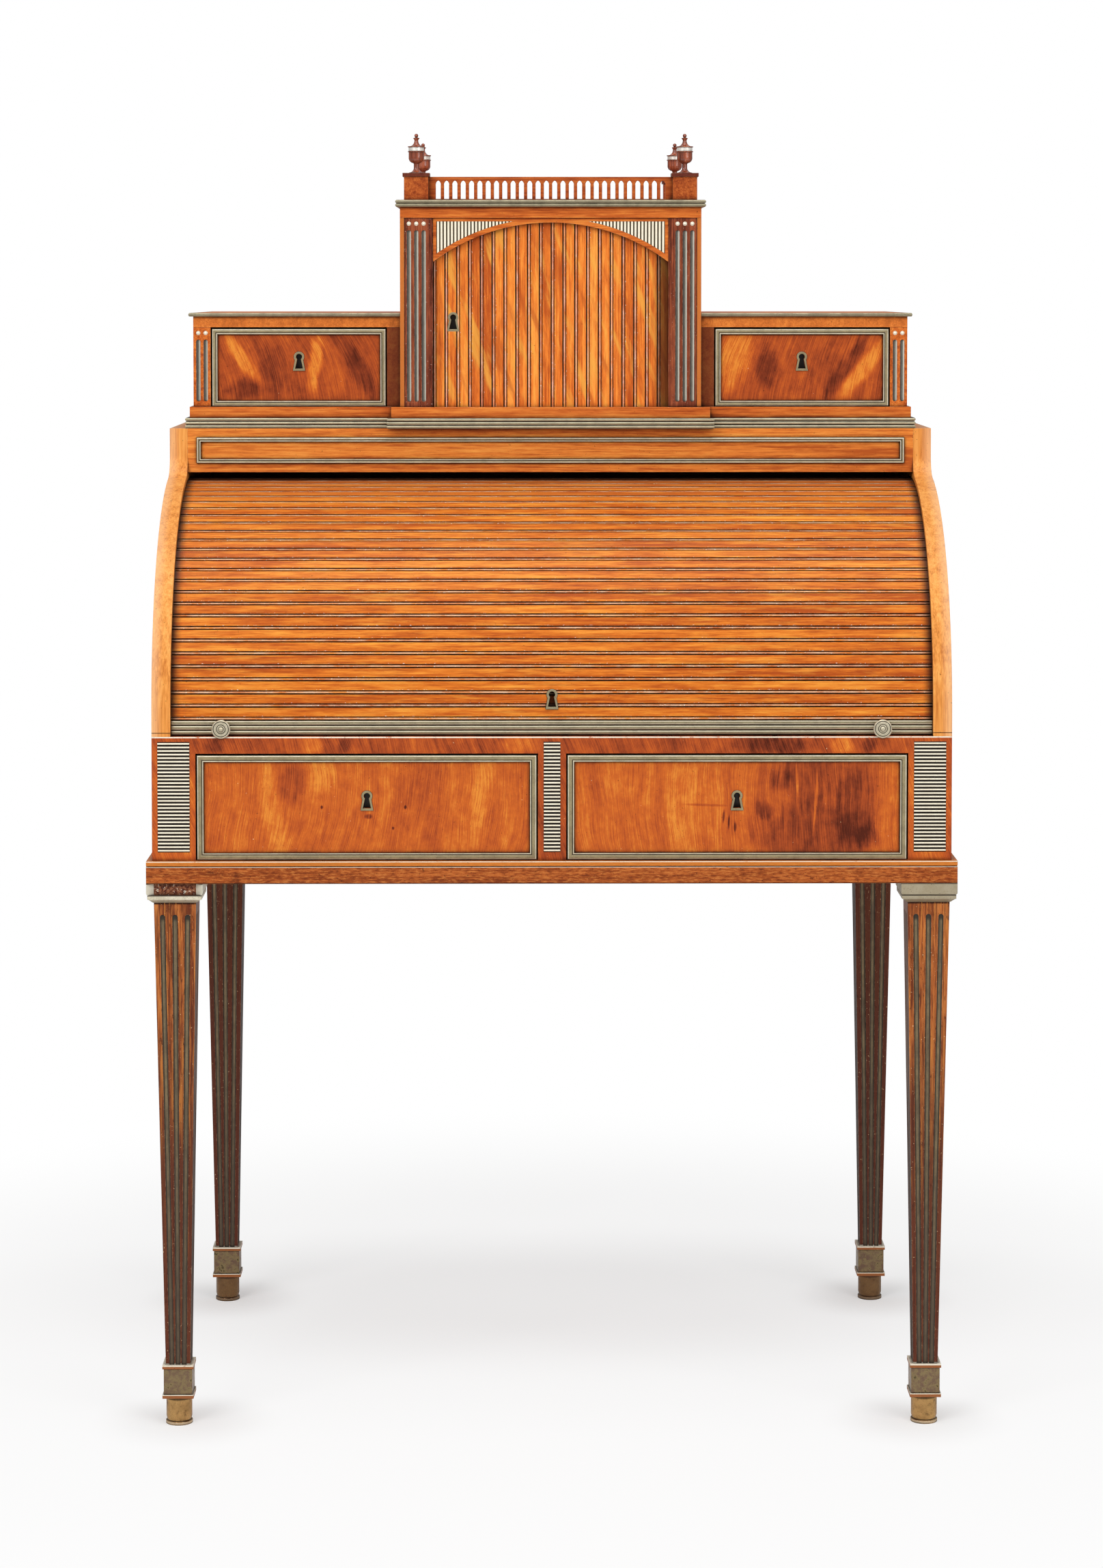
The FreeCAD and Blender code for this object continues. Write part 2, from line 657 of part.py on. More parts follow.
def drawer_boards(x0, x1, y0, y1, z0, z1, side):
    """Two sides, back and bottom of a drawer box."""
    return [box(x0, x0 + side, y0, y1, z0, z1), box(x1 - side, x1, y0, y1, z0, z1),
            box(x0 + side, x1 - side, y1 - side, y1, z0, z1),
            box(x0 + side, x1 - side, y0, y1 - side, z0 + SEAT_GAP, z0 + SEAT_GAP + DRAWER_BOTTOM)]


def make_drawer(node, x0, x1, y_face, y_end, z0, z1, trim_width):
    """Drawer for the opening x0..x1, z0..z1, back to y_end, with brass frame, lock and sliding bolt."""
    left, right = x0 + DRAWER_GAP, x1 - DRAWER_GAP
    low, high = z0 + SEAT_GAP, z1 - DRAWER_TOP_GAP
    y0 = y_face + DRAWER_INSET
    y1 = y0 + DRAWER_FRONT
    x_key = (left + right) / 2
    z_key = (low + high) / 2 + KEY_RISE
    case_low = z_key - LOCK_TAIL
    lock_half = LOCK_WIDTH / 2
    case = box(x_key - lock_half, x_key + lock_half, y1 - LOCK_DEPTH, y1, case_low, high)
    y_bolt = y1 - LOCK_DEPTH / 2
    slot = box(x_key - mortise_half, x_key + mortise_half, y_bolt - mortise_back, y_bolt + mortise_back,
               high - BOLT_HEIGHT - BOLT_CLEARANCE, high)
    bolt = box(x_key - BOLT_WIDTH / 2, x_key + BOLT_WIDTH / 2, y_bolt - BOLT_THICKNESS / 2,
               y_bolt + BOLT_THICKNESS / 2, high - BOLT_HEIGHT, high)
    key_way = keyhole(x_key, y0, z_key, DRAWER_FRONT - LOCK_DEPTH)
    front = box(left, right, y0, y1, low, high).cut([case, key_way])
    save(node + "_front", [front])
    save(node + "_box", drawer_boards(left, right, y1, y_end, low, high - DRAWER_BOX_DROP, DRAWER_SIDE))
    save(node + "_brass", frame_strips(left, right, low, high, y0, trim_width)
         + [escutcheon(x_key, y0, z_key), case.cut(slot)])
    save(node + "_bolt", [bolt])


base_end = Y_PANEL - BASE_DRAWER_ROOM
make_drawer("base_drawer_left", -X_POST, -HALF_STILE, Y_CASE, base_end, Z_DRAWER, Z_RAIL, BASE_TRIM_WIDTH)
make_drawer("base_drawer_right", HALF_STILE, X_POST, Y_CASE, base_end, Z_DRAWER, Z_RAIL, BASE_TRIM_WIDTH)

# Cylinder case: cheeks with curved tracks, top and frieze

def make_cheek():
    """Side of the cylinder: convex front, ogee to an upright fillet, curved track inside."""
    spread = AXIS_SETBACK + OGEE_RADIUS
    reach = OGEE_RADIUS + AXIS_SETBACK - FRIEZE_SETBACK
    turn = math.acos(reach / spread)
    ogee_y = Y_FRIEZE - OGEE_RADIUS
    ogee_z = Z_AXIS + spread * math.sin(turn)

    def on_arc(angle):
        return Vec(INNER, Y_AXIS - AXIS_SETBACK * math.cos(angle), Z_AXIS + AXIS_SETBACK * math.sin(angle))

    def on_ogee(angle):
        return Vec(INNER, ogee_y + OGEE_RADIUS * math.cos(angle), ogee_z - OGEE_RADIUS * math.sin(angle))
    low_front, low_back = Vec(INNER, Y_CASE, Z_WRITING), Vec(INNER, Y_PANEL, Z_WRITING)
    top_back, top_front = Vec(INNER, Y_PANEL, Z_TOP), Vec(INNER, Y_FRIEZE, Z_TOP)
    outline = Part.Wire([
        line(low_front, on_arc(0)),
        arc(on_arc(0), on_arc(turn / 2), on_arc(turn)),
        arc(on_arc(turn), on_ogee(turn / 2), on_ogee(0)),
        line(on_ogee(0), top_front),
        line(top_front, top_back),
        line(top_back, low_back),
        line(low_back, low_front),
    ])
    cheek = prism(outline, X_DIR * BOARD)
    depth = SLAT_TONGUE + TRACK_CLEARANCE
    axis_point = Vec(INNER, Y_AXIS, Z_AXIS)
    track = Part.makeCylinder(TAMBOUR_R + TRACK_CLEARANCE, depth, axis_point, X_DIR)
    track = track.cut(Part.makeCylinder(TAMBOUR_IN - TRACK_CLEARANCE, depth, axis_point, X_DIR))
    return cheek.cut(track.common(box(INNER, HALF_CASE, Y_CASE, Y_PANEL, Z_WRITING, Z_TOP)))


cheek = make_cheek()
save("cheek_right", [cheek])
save("cheek_left", [mirrored(cheek)])
y_frieze_back = Y_FRIEZE + FRIEZE_THICKNESS
save("top_board", [box(-INNER, INNER, y_frieze_back, Y_PANEL, Z_TOP - BOARD, Z_TOP)])
save("frieze_board", [box(-INNER, INNER, Y_FRIEZE, y_frieze_back, Z_FRIEZE, Z_TOP)])
trim_x = INNER - FRIEZE_TRIM_INSET
save("frieze_trim", frame_strips(-trim_x, trim_x, Z_FRIEZE + FRIEZE_TRIM_INSET, Z_TOP - FRIEZE_TRIM_INSET,
                                 Y_FRIEZE, FRIEZE_TRIM_WIDTH))

# Tambour: slats, canvas, rail and its brass

tongue_end = INNER + SLAT_TONGUE
first_angle = -math.asin((AXIS_RISE - SEAT_GAP) / TAMBOUR_R)
rail_angle = RAIL_HEIGHT / TAMBOUR_R
slat_angle = SLAT_PITCH / TAMBOUR_R
rail_mid = first_angle + rail_angle / 2
slats_from = first_angle + rail_angle
last_angle = slats_from + SLAT_COUNT * slat_angle


def polar(x, radius, angle):
    return Vec(x, Y_AXIS - radius * math.cos(angle), Z_AXIS + radius * math.sin(angle))


def make_slat():
    """Slat at the front of the cylinder, with a bead and a quirk along its lower edge."""
    half = slat_angle / 2 - SLAT_GAP / 2 / TAMBOUR_R
    bead = SLAT_BEAD / TAMBOUR_R
    quirk = bead + SLAT_QUIRK / TAMBOUR_R
    low = TAMBOUR_R - SLAT_BEAD_DROP
    x = -tongue_end
    bead_in, bead_out = polar(x, low, -half), polar(x, low, bead - half)
    quirk_out, face_low = polar(x, low, quirk - half), polar(x, TAMBOUR_R, quirk - half)
    face_high = polar(x, TAMBOUR_R, half)
    back_high, back_low = polar(x, TAMBOUR_IN, half), polar(x, TAMBOUR_IN, -half)
    section = Part.Wire([
        arc(bead_in, polar(x, TAMBOUR_R, bead / 2 - half), bead_out),
        line(bead_out, quirk_out),
        line(quirk_out, face_low),
        line(face_low, face_high),
        line(face_high, back_high),
        line(back_high, back_low),
        line(back_low, bead_in),
    ])
    return prism(section, X_DIR * 2 * tongue_end)


y_front = Y_AXIS - TAMBOUR_R
z_lock_key = Z_AXIS
key_angle = math.asin(CYLINDER_KEY_RISE / TAMBOUR_R)
cylinder_keyhole = on_cylinder(keyhole(0, y_front, z_lock_key, SLAT_THICKNESS), key_angle)
slat = make_slat()
slats = [on_cylinder(slat, slats_from + (i + 0.5) * slat_angle) for i in range(SLAT_COUNT)]
plate_bed = prism(keyhole_wire(0, y_front, z_lock_key, ESCUTCHEON_RIM), Vec(0, SLAT_BEAD_DROP, 0))
plate_bed = on_cylinder(plate_bed, key_angle)
save("tambour_slats", [s.cut([cylinder_keyhole, plate_bed]) for s in slats])

canvas_out = TAMBOUR_IN * math.cos(slat_angle / 2) - CANVAS_GAP
canvas_in = canvas_out - CANVAS
canvas_end = INNER - CANVAS_END
canvas_mid = (slats_from + last_angle) / 2
canvas_wire = Part.Wire([
    arc(*[polar(-canvas_end, canvas_out, angle) for angle in (slats_from, canvas_mid, last_angle)]),
    line(polar(-canvas_end, canvas_out, last_angle), polar(-canvas_end, canvas_in, last_angle)),
    arc(*[polar(-canvas_end, canvas_in, angle) for angle in (last_angle, canvas_mid, slats_from)]),
    line(polar(-canvas_end, canvas_in, slats_from), polar(-canvas_end, canvas_out, slats_from)),
])
save("tambour_canvas", [prism(canvas_wire, X_DIR * 2 * canvas_end).cut(cylinder_keyhole)])

rail_half = RAIL_HEIGHT / 2 - RAIL_GAP / 2
rail_face = y_front + RAIL_BRASS
rail = box(-tongue_end, tongue_end, rail_face, y_front + SLAT_THICKNESS, Z_AXIS - rail_half, Z_AXIS + rail_half)
save("tambour_rail", [on_cylinder(rail, rail_mid)])


def rail_place(across, out):
    return Vec(-canvas_end, rail_face - out, Z_AXIS - rail_half + across)


strip_wire = reeded_wire(rail_place, RAIL_BRASS / 2, even_reeds(2 * rail_half, RAIL_REEDS, RAIL_BRASS / 2))
strip = prism(strip_wire, X_DIR * 2 * canvas_end)
knob_xs = (KNOB_INSET - INNER, INNER - KNOB_INSET)
stems = [Part.makeCylinder(KNOB_STEM, RAIL_BRASS, Vec(x, y_front, Z_AXIS), Vec(0, 1, 0)) for x in knob_xs]
lock_half = LOCK_WIDTH / 2
lock_low = Z_WRITING + SEAT_GAP
lock_high = Z_AXIS + CYLINDER_KEY_RISE + KEYHOLE_HEAD
lock_case = box(-lock_half, lock_half, lock_y, lock_y + LOCK_DEPTH, lock_low, lock_high)
bolt_slot = box(-mortise_half, mortise_half, cylinder_bolt_y - mortise_back, cylinder_bolt_y + mortise_back,
                lock_low, lock_low + BOLT_HEIGHT + BOLT_CLEARANCE)
plate = prism(keyhole_wire(0, y_front - ESCUTCHEON_PROUD, z_lock_key, ESCUTCHEON_RIM),
              Vec(0, ESCUTCHEON_PROUD + SLAT_BEAD_DROP, 0))
plate = on_cylinder(plate, key_angle).cut(cylinder_keyhole)
save("tambour_brass", [on_cylinder(strip.cut(stems), rail_mid), plate, lock_case.cut(bolt_slot)])
save("tambour_bolt", [box(-BOLT_WIDTH / 2, BOLT_WIDTH / 2, cylinder_bolt_y - BOLT_THICKNESS / 2,
                          cylinder_bolt_y + BOLT_THICKNESS / 2, lock_low, lock_low + BOLT_HEIGHT)])

knob_neck = rail_face - Y_CASE + KNOB_CLEARANCE
knob_face = knob_neck + KNOB_DISC
knob_profile = [(0, 0), (KNOB_STEM, 0), (KNOB_STEM, knob_neck), (KNOB_RADIUS - KNOB_EDGE, knob_neck),
                (KNOB_RADIUS, knob_neck + KNOB_EDGE), (KNOB_RADIUS, knob_face - KNOB_EDGE),
                (KNOB_RADIUS - KNOB_EDGE, knob_face)]
for ring in (KNOB_RADIUS - KNOB_RIM, KNOB_RING):
    knob_profile += [(ring, knob_face), (ring - KNOB_GROOVE, knob_face - KNOB_GROOVE),
                     (ring - 2 * KNOB_GROOVE, knob_face)]
knob_profile += [(KNOB_BUTTON, knob_face), (KNOB_BUTTON, knob_face + KNOB_BOSS / 2),
                 (KNOB_BUTTON / 2, knob_face + KNOB_BOSS), (0, knob_face + KNOB_BOSS)]
save("tambour_knobs", [on_cylinder(turned(knob_profile, Vec(x, rail_face, Z_AXIS), FRONT), rail_mid)
                       for x in knob_xs])

# Nest of pigeonholes and two small drawers behind the cylinder

nest_radius = canvas_in - NEST_CLEARANCE
nest_y0, nest_y1 = Y_AXIS, Y_AXIS + NEST_DEPTH
nest_top = Z_AXIS + math.sqrt(nest_radius ** 2 - NEST_DEPTH ** 2)
nest_x = INNER - NEST_END_GAP
nest_low = Z_WRITING + NEST_BOARD
nest_shelf = nest_low + NEST_DRAWER_HEIGHT
bay_x = nest_x - NEST_BOARD - NEST_BAY
bay_mid = bay_x + NEST_BAY / 2
y_nest_back = nest_y1 - NEST_BOARD
nest_end = box(nest_x - NEST_BOARD, nest_x, nest_y0, nest_y1, nest_low, nest_top - NEST_BOARD)
nest_divider = box(bay_x - NEST_BOARD, bay_x, nest_y0, y_nest_back, nest_low, nest_top - NEST_BOARD)
nest_level = box(bay_x, bay_x + NEST_BAY, nest_y0, y_nest_back, nest_shelf, nest_shelf + NEST_BOARD)
nest_split = box(bay_mid - NEST_BOARD / 2, bay_mid + NEST_BOARD / 2, nest_y0, y_nest_back,
                 nest_shelf + NEST_BOARD, nest_top - NEST_BOARD)
save("nest_case", [
    box(-nest_x, nest_x, nest_y0, nest_y1, Z_WRITING, nest_low),
    box(-nest_x, nest_x, nest_y0, nest_y1, nest_top - NEST_BOARD, nest_top),
    box(-nest_x + NEST_BOARD, nest_x - NEST_BOARD, y_nest_back, nest_y1, nest_low, nest_top - NEST_BOARD),
] + both_sides(nest_end) + both_sides(nest_divider) + both_sides(nest_level) + both_sides(nest_split))


def nest_drawer(node, x0, x1):
    left, right = x0 + DRAWER_GAP, x1 - DRAWER_GAP
    low, high = nest_low + SEAT_GAP, nest_shelf - DRAWER_GAP
    y1 = nest_y0 + DRAWER_SIDE
    front = box(left, right, nest_y0, y1, low, high)
    knob_end = NEST_KNOB_NECK + NEST_KNOB_DISC
    knob = turned([(0, 0), (NEST_KNOB_STEM, 0), (NEST_KNOB_STEM, NEST_KNOB_NECK), (NEST_KNOB, NEST_KNOB_NECK),
                   (NEST_KNOB, NEST_KNOB_NECK + NEST_KNOB_DISC / 2), (NEST_KNOB_STEM, knob_end), (0, knob_end)],
                  Vec((left + right) / 2, nest_y0, (low + high) / 2), FRONT)
    boards = drawer_boards(left, right, y1, y_nest_back - DRAWER_GAP, low, high - DRAWER_GAP, NEST_BOARD)
    save(node, [front.fuse(knob)] + boards)


nest_drawer("nest_drawer_left", -bay_x - NEST_BAY, -bay_x)
nest_drawer("nest_drawer_right", bay_x, bay_x + NEST_BAY)

# Superstructure: plinth, wings and their drawers

half_plinth = HALF_UPPER + PLINTH_LIP
y_plinth, y_break = Y_UPPER - PLINTH_LIP, Y_CABINET - PLINTH_LIP
half_break = BREAK_WIDTH / 2
plinth_left = [(-half_plinth, Y_UPPER_BACK), (-half_plinth, y_plinth), (-half_break, y_plinth),
               (-half_break, y_break)]
plinth_path = plinth_left + [(-x, y) for x, y in reversed(plinth_left)]
plinth = prism(polygon([Vec(x, y, Z_TOP) for x, y in plinth_path]), UP * PLINTH_HEIGHT)
shutter_y0 = Y_CABINET + PILASTER_THIN + SHUTTER_GAP
shutter_y1 = shutter_y0 + SHUTTER_THICKNESS
shutter_left = -X_PILASTER + SHUTTER_GAP
track_y0, track_y1 = shutter_y0 - SHUTTER_GAP, shutter_y1 + CANVAS + SHUTTER_GAP
low_track = box(-X_PILASTER, X_CABINET_IN, track_y0, track_y1, Z_WING - SHUTTER_GROOVE, Z_WING)
save("plinth_board", [plinth.cut(low_track)])
reed_rise = REED_SHAPE * PLINTH_MOULDING / PLINTH_REEDS
save("plinth_moulding",
     moulding_strips(plinth_path, Z_TOP, PLINTH_MOULDING, MOULDING_BASE, PLINTH_REEDS, reed_rise))

FLUTE_END = PILASTER_FLUTE / 2


def slot_wire(x, y, z0, z1):
    r = FLUTE_END
    a, b = Vec(x - r, y, z0 + r), Vec(x + r, y, z0 + r)
    c, d = Vec(x + r, y, z1 - r), Vec(x - r, y, z1 - r)
    return Part.Wire([arc(a, Vec(x, y, z0), b), line(b, c), arc(c, Vec(x, y, z1), d), line(d, a)])


def pilaster_flutes(xs, y_face, z0, z1):
    """Beds to cut, and the brass linings and studs that fill them, on a front face."""
    stud_z = z1 - STUD_DROP
    flute_top = stud_z - FLUTE_END - STUD_TO_FLUTE
    hollow = sagged(FLUTE_END, PILASTER_SAG)
    beds, brass = [], []
    for x in xs:
        bed = prism(slot_wire(x, y_face, z0 + PILASTER_MARGIN, flute_top), Vec(0, PILASTER_FLUTE_DEPTH, 0))
        axis_point = Vec(x, y_face + PILASTER_SAG - hollow, z0)
        trough = Part.makeCylinder(hollow, z1 - z0, axis_point, UP)
        hole = Part.makeCylinder(FLUTE_END, PILASTER_FLUTE_DEPTH, Vec(x, y_face, stud_z), Vec(0, 1, 0))
        head = Part.makeSphere(FLUTE_END, Vec(x, y_face + STUD_SINK, stud_z))
        dome = head.common(box(x - POST_SIZE, x + POST_SIZE, y_face - POST_SIZE, y_face,
                               stud_z - POST_SIZE, stud_z + POST_SIZE))
        beds += [bed, hole]
        brass += [bed.cut(trough), hole.fuse(dome)]
    return beds, brass


wing_mid = HALF_UPPER - WING_SIDE / 2
wing_beds, wing_brass = pilaster_flutes([wing_mid - PILASTER_PITCH / 2, wing_mid + PILASTER_PITCH / 2],
                                        Y_UPPER, Z_WING, Z_WING_TOP)
wing_side = box(X_WING_END, HALF_UPPER, Y_UPPER, Y_UPPER_PANEL, Z_WING, Z_WING_TOP).cut(wing_beds)
wing_wall = box(HALF_CABINET, X_WING, Y_UPPER, Y_UPPER_PANEL, Z_WING, Z_WING_TOP)
y_side_front = Y_CABINET + PILASTER_THIN
cabinet_side = box(X_CABINET_IN, HALF_CABINET, y_side_front, Y_UPPER_PANEL, Z_WING, Z_CABINET)
left_side = mirrored(cabinet_side).cut(box(-HALF_CABINET, -X_PILASTER, y_side_front, Y_CABINET + PILASTER_THICK,
                                           Z_WING, Z_CABINET))
save("upper_sides", both_sides(wing_side) + both_sides(wing_wall) + [cabinet_side, left_side])
save("upper_back", [box(-HALF_UPPER, HALF_UPPER, Y_UPPER_PANEL, Y_UPPER_BACK, Z_WING, Z_WING_TOP),
                    box(-HALF_CABINET, HALF_CABINET, Y_UPPER_PANEL, Y_UPPER_BACK, Z_WING_TOP, Z_CABINET)])

wing_bolt_y = Y_UPPER + DRAWER_INSET + DRAWER_FRONT - LOCK_DEPTH / 2
wing_key_x = (X_WING + X_WING_END) / 2
wing_top = box(HALF_CABINET, HALF_UPPER, Y_UPPER - SEAT_GAP, Y_UPPER_BACK, Z_WING_TOP, Z_WING_TOP + WING_TOP)
wing_top = wing_top.cut(drawer_mortise(wing_key_x, wing_bolt_y, Z_WING_TOP))
cabinet_top = box(-HALF_CABINET, HALF_CABINET, Y_CABINET - SEAT_GAP, Y_UPPER_BACK, Z_CABINET, Z_GALLERY)
high_track = box(-X_PILASTER, X_CABINET_IN, track_y0, track_y1, Z_CABINET, Z_CABINET + SHUTTER_GROOVE)
save("upper_tops", both_sides(wing_top) + [cabinet_top.cut(high_track)])

wing_cornice = moulding_strips([(-HALF_UPPER, Y_UPPER_BACK), (-HALF_UPPER, Y_UPPER - SEAT_GAP),
                                (-HALF_CABINET, Y_UPPER - SEAT_GAP)],
                               Z_WING_TOP + WING_TOP - CORNICE_HEIGHT, CORNICE_HEIGHT,
                               CORNICE_PROUD - CORNICE_RISE, CORNICE_REEDS, CORNICE_RISE)
cabinet_cornice = moulding_strips([(-HALF_CABINET, Y_UPPER_BACK), (-HALF_CABINET, Y_CABINET - SEAT_GAP),
                                   (HALF_CABINET, Y_CABINET - SEAT_GAP), (HALF_CABINET, Y_UPPER_BACK)],
                                  Z_GALLERY - CABINET_CORNICE, CABINET_CORNICE,
                                  CORNICE_PROUD - CABINET_CORNICE_RISE, CABINET_CORNICE_REEDS,
                                  CABINET_CORNICE_RISE)
save("brass_cornices", wing_cornice + [mirrored(s) for s in wing_cornice] + cabinet_cornice)

wing_end = Y_UPPER_PANEL - WING_DRAWER_ROOM
make_drawer("wing_drawer_left", -X_WING_END, -X_WING, Y_UPPER, wing_end, Z_WING, Z_WING_TOP, WING_TRIM_WIDTH)
make_drawer("wing_drawer_right", X_WING, X_WING_END, Y_UPPER, wing_end, Z_WING, Z_WING_TOP, WING_TRIM_WIDTH)

# Cabinet front: pilasters, arch board, ribbed spandrels

pilaster_mid = (X_PILASTER + HALF_CABINET) / 2
flute_xs = [pilaster_mid - PILASTER_PITCH, pilaster_mid, pilaster_mid + PILASTER_PITCH]
y_field = Y_CABINET + PILASTER_SINK
pilaster_beds, pilaster_brass = pilaster_flutes(flute_xs, y_field, Z_WING, Z_CABINET)
field = box(X_PILASTER, HALF_CABINET - PILASTER_EDGE, Y_CABINET, y_field, Z_WING, Z_CABINET)
right_pilaster = box(X_PILASTER, HALF_CABINET, Y_CABINET, Y_CABINET + PILASTER_THIN, Z_WING, Z_CABINET)
left_pilaster = box(-HALF_CABINET, -X_PILASTER, Y_CABINET, Y_CABINET + PILASTER_THICK, Z_WING, Z_CABINET)
shutter_key_z = Z_WING + SHUTTER_KEY_Z
shutter_bolt_z = shutter_key_z - KEYHOLE_DROP
shutter_lock_y0 = shutter_y1 + CANVAS + CANVAS_GAP
shutter_bolt_y = shutter_lock_y0 + LOCK_DEPTH / 2
bolt_y0, bolt_y1 = shutter_bolt_y - mortise_back, shutter_bolt_y + mortise_back
bolt_z0, bolt_z1 = shutter_bolt_z - mortise_half, shutter_bolt_z + mortise_half
shutter_mortise = box(-X_PILASTER - BOLT_THROW, -X_PILASTER, bolt_y0, bolt_y1, bolt_z0, bolt_z1)
pilaster_cuts = [field] + pilaster_beds
save("pilasters", [right_pilaster.cut(pilaster_cuts),
                   left_pilaster.cut([mirrored(cut) for cut in pilaster_cuts] + [shutter_mortise])])
save("pilaster_flutes", [s for brass in wing_brass + pilaster_brass for s in both_sides(brass)])

arch_y0 = Y_CABINET + ARCH_INSET
arch_y1 = arch_y0 + ARCH_THICKNESS
arch_crown = Z_CABINET - ARCH_BAND
arch_radius = (X_PILASTER ** 2 + ARCH_RISE ** 2) / (2 * ARCH_RISE)
arch_axis = Vec(0, arch_y0, arch_crown - arch_radius)
arch_spring = arch_crown - ARCH_RISE


def arch_disc(grow):
    return Part.makeCylinder(arch_radius + grow, ARCH_THICKNESS, arch_axis, Vec(0, 1, 0))


spandrel_x = X_PILASTER - SPANDREL_MARGIN
spandrel_bed = box(0, spandrel_x, arch_y0, arch_y0 + SPANDREL_RECESS, arch_spring,
                   Z_CABINET - SPANDREL_MARGIN).cut(arch_disc(ARCH_BAND))


def spandrel_place(across, out):
    return Vec(across, arch_y0 + SPANDREL_RECESS - out, arch_spring)


spandrel_ribs = int(round(spandrel_x / SPANDREL_PITCH))
spandrel_wire = reeded_wire(spandrel_place, SPANDREL_RECESS / 2,
                            even_reeds(spandrel_x, spandrel_ribs, SPANDREL_RECESS / 2))
spandrel = prism(spandrel_wire, UP * (Z_CABINET - arch_spring)).common(spandrel_bed)
arch_board = box(-X_PILASTER, X_PILASTER, arch_y0, arch_y1, arch_spring, Z_CABINET)
save("arch_board", [arch_board.cut([arch_disc(0)] + both_sides(spandrel_bed))])
corner_panel, centre_panel = ribbed_panel(post_mid, CORNER_PANEL_WIDTH), ribbed_panel(0, CENTRE_PANEL_WIDTH)
save("ribbed_panels", both_sides(corner_panel) + [centre_panel] + both_sides(spandrel))

# Shutter of upright slats on canvas

shutter_z0, shutter_z1 = Z_WING - SHUTTER_GROOVE + SEAT_GAP, Z_CABINET + SHUTTER_GROOVE - SHUTTER_GAP
shutter_key_x = shutter_left + SHUTTER_KEY_X


def shutter_slat(index):
    """Upright slat with a bead and a quirk along its left edge."""
    x0 = shutter_left + index * SHUTTER_PITCH
    x1 = x0 + SHUTTER_PITCH - SHUTTER_JOINT
    bead_x = x0 + SHUTTER_BEAD
    face_x = bead_x + SLAT_QUIRK
    low = shutter_y0 + SLAT_BEAD_DROP
    z = shutter_z0
    bead_left, bead_right = Vec(x0, low, z), Vec(bead_x, low, z)
    section = Part.Wire([
        arc(bead_left, Vec((x0 + bead_x) / 2, shutter_y0, z), bead_right),
        line(bead_right, Vec(face_x, low, z)),
        line(Vec(face_x, low, z), Vec(face_x, shutter_y0, z)),
        line(Vec(face_x, shutter_y0, z), Vec(x1, shutter_y0, z)),
        line(Vec(x1, shutter_y0, z), Vec(x1, shutter_y1, z)),
        line(Vec(x1, shutter_y1, z), Vec(x0, shutter_y1, z)),
        line(Vec(x0, shutter_y1, z), bead_left),
    ])
    return prism(section, UP * (shutter_z1 - shutter_z0))


shutter_right = shutter_left + SHUTTER_SLATS * SHUTTER_PITCH - SHUTTER_JOINT
shutter_bed = prism(keyhole_wire(shutter_key_x, shutter_y0, shutter_key_z, ESCUTCHEON_RIM),
                    Vec(0, SLAT_BEAD_DROP, 0))
shutter_hole = keyhole(shutter_key_x, shutter_y0, shutter_key_z, SHUTTER_THICKNESS + CANVAS)
save("shutter_slats", [shutter_slat(i).cut([shutter_bed, shutter_hole]) for i in range(SHUTTER_SLATS)])
shutter_cloth = box(shutter_left, shutter_right, shutter_y1, shutter_y1 + CANVAS, shutter_z0, shutter_z1)
save("shutter_canvas", [shutter_cloth.cut(shutter_hole)])
shutter_case = box(shutter_left, shutter_key_x + LOCK_TAIL, shutter_lock_y0, shutter_lock_y0 + LOCK_DEPTH,
                   shutter_key_z - LOCK_WIDTH, shutter_key_z + LOCK_TAIL)
shutter_slot = box(shutter_left, shutter_left + BOLT_HEIGHT + BOLT_CLEARANCE, bolt_y0, bolt_y1, bolt_z0, bolt_z1)
save("shutter_brass", [shutter_bed.cut(shutter_hole), shutter_case.cut(shutter_slot)])
save("shutter_bolt", [box(shutter_left, shutter_left + BOLT_HEIGHT, shutter_bolt_y - BOLT_THICKNESS / 2,
                          shutter_bolt_y + BOLT_THICKNESS / 2, shutter_bolt_z - BOLT_WIDTH / 2,
                          shutter_bolt_z + BOLT_WIDTH / 2)])

# Gallery, posts and finials

def lancets(start, end, along, origin):
    """Pointed openings spaced along a gallery rail."""
    count = int((end - start - GALLERY_PITCH / 2) / GALLERY_PITCH)
    first = (start + end - (count - 1) * GALLERY_PITCH) / 2
    depth_dir = Vec(along.y, along.x, 0)
    half = LANCET_WIDTH / 2
    spring = LANCET_SILL + LANCET_HEIGHT - LANCET_WIDTH
    apex = LANCET_SILL + LANCET_HEIGHT
    cutters = []
    for i in range(count):
        centre = origin + along * (first + i * GALLERY_PITCH) - depth_dir * GALLERY_THICKNESS

        def at(u, w, centre=centre):
            return centre + along * u + UP * w
        wire = Part.Wire([
            line(at(-half, LANCET_SILL), at(half, LANCET_SILL)),
            line(at(half, LANCET_SILL), at(half, spring)),
            quarter(at(half, spring), at(0, apex), at(half, apex)),
            quarter(at(0, apex), at(-half, spring), at(-half, apex)),
            line(at(-half, spring), at(-half, LANCET_SILL)),
        ])
        cutters.append(prism(wire, depth_dir * 2 * GALLERY_THICKNESS))
    return cutters


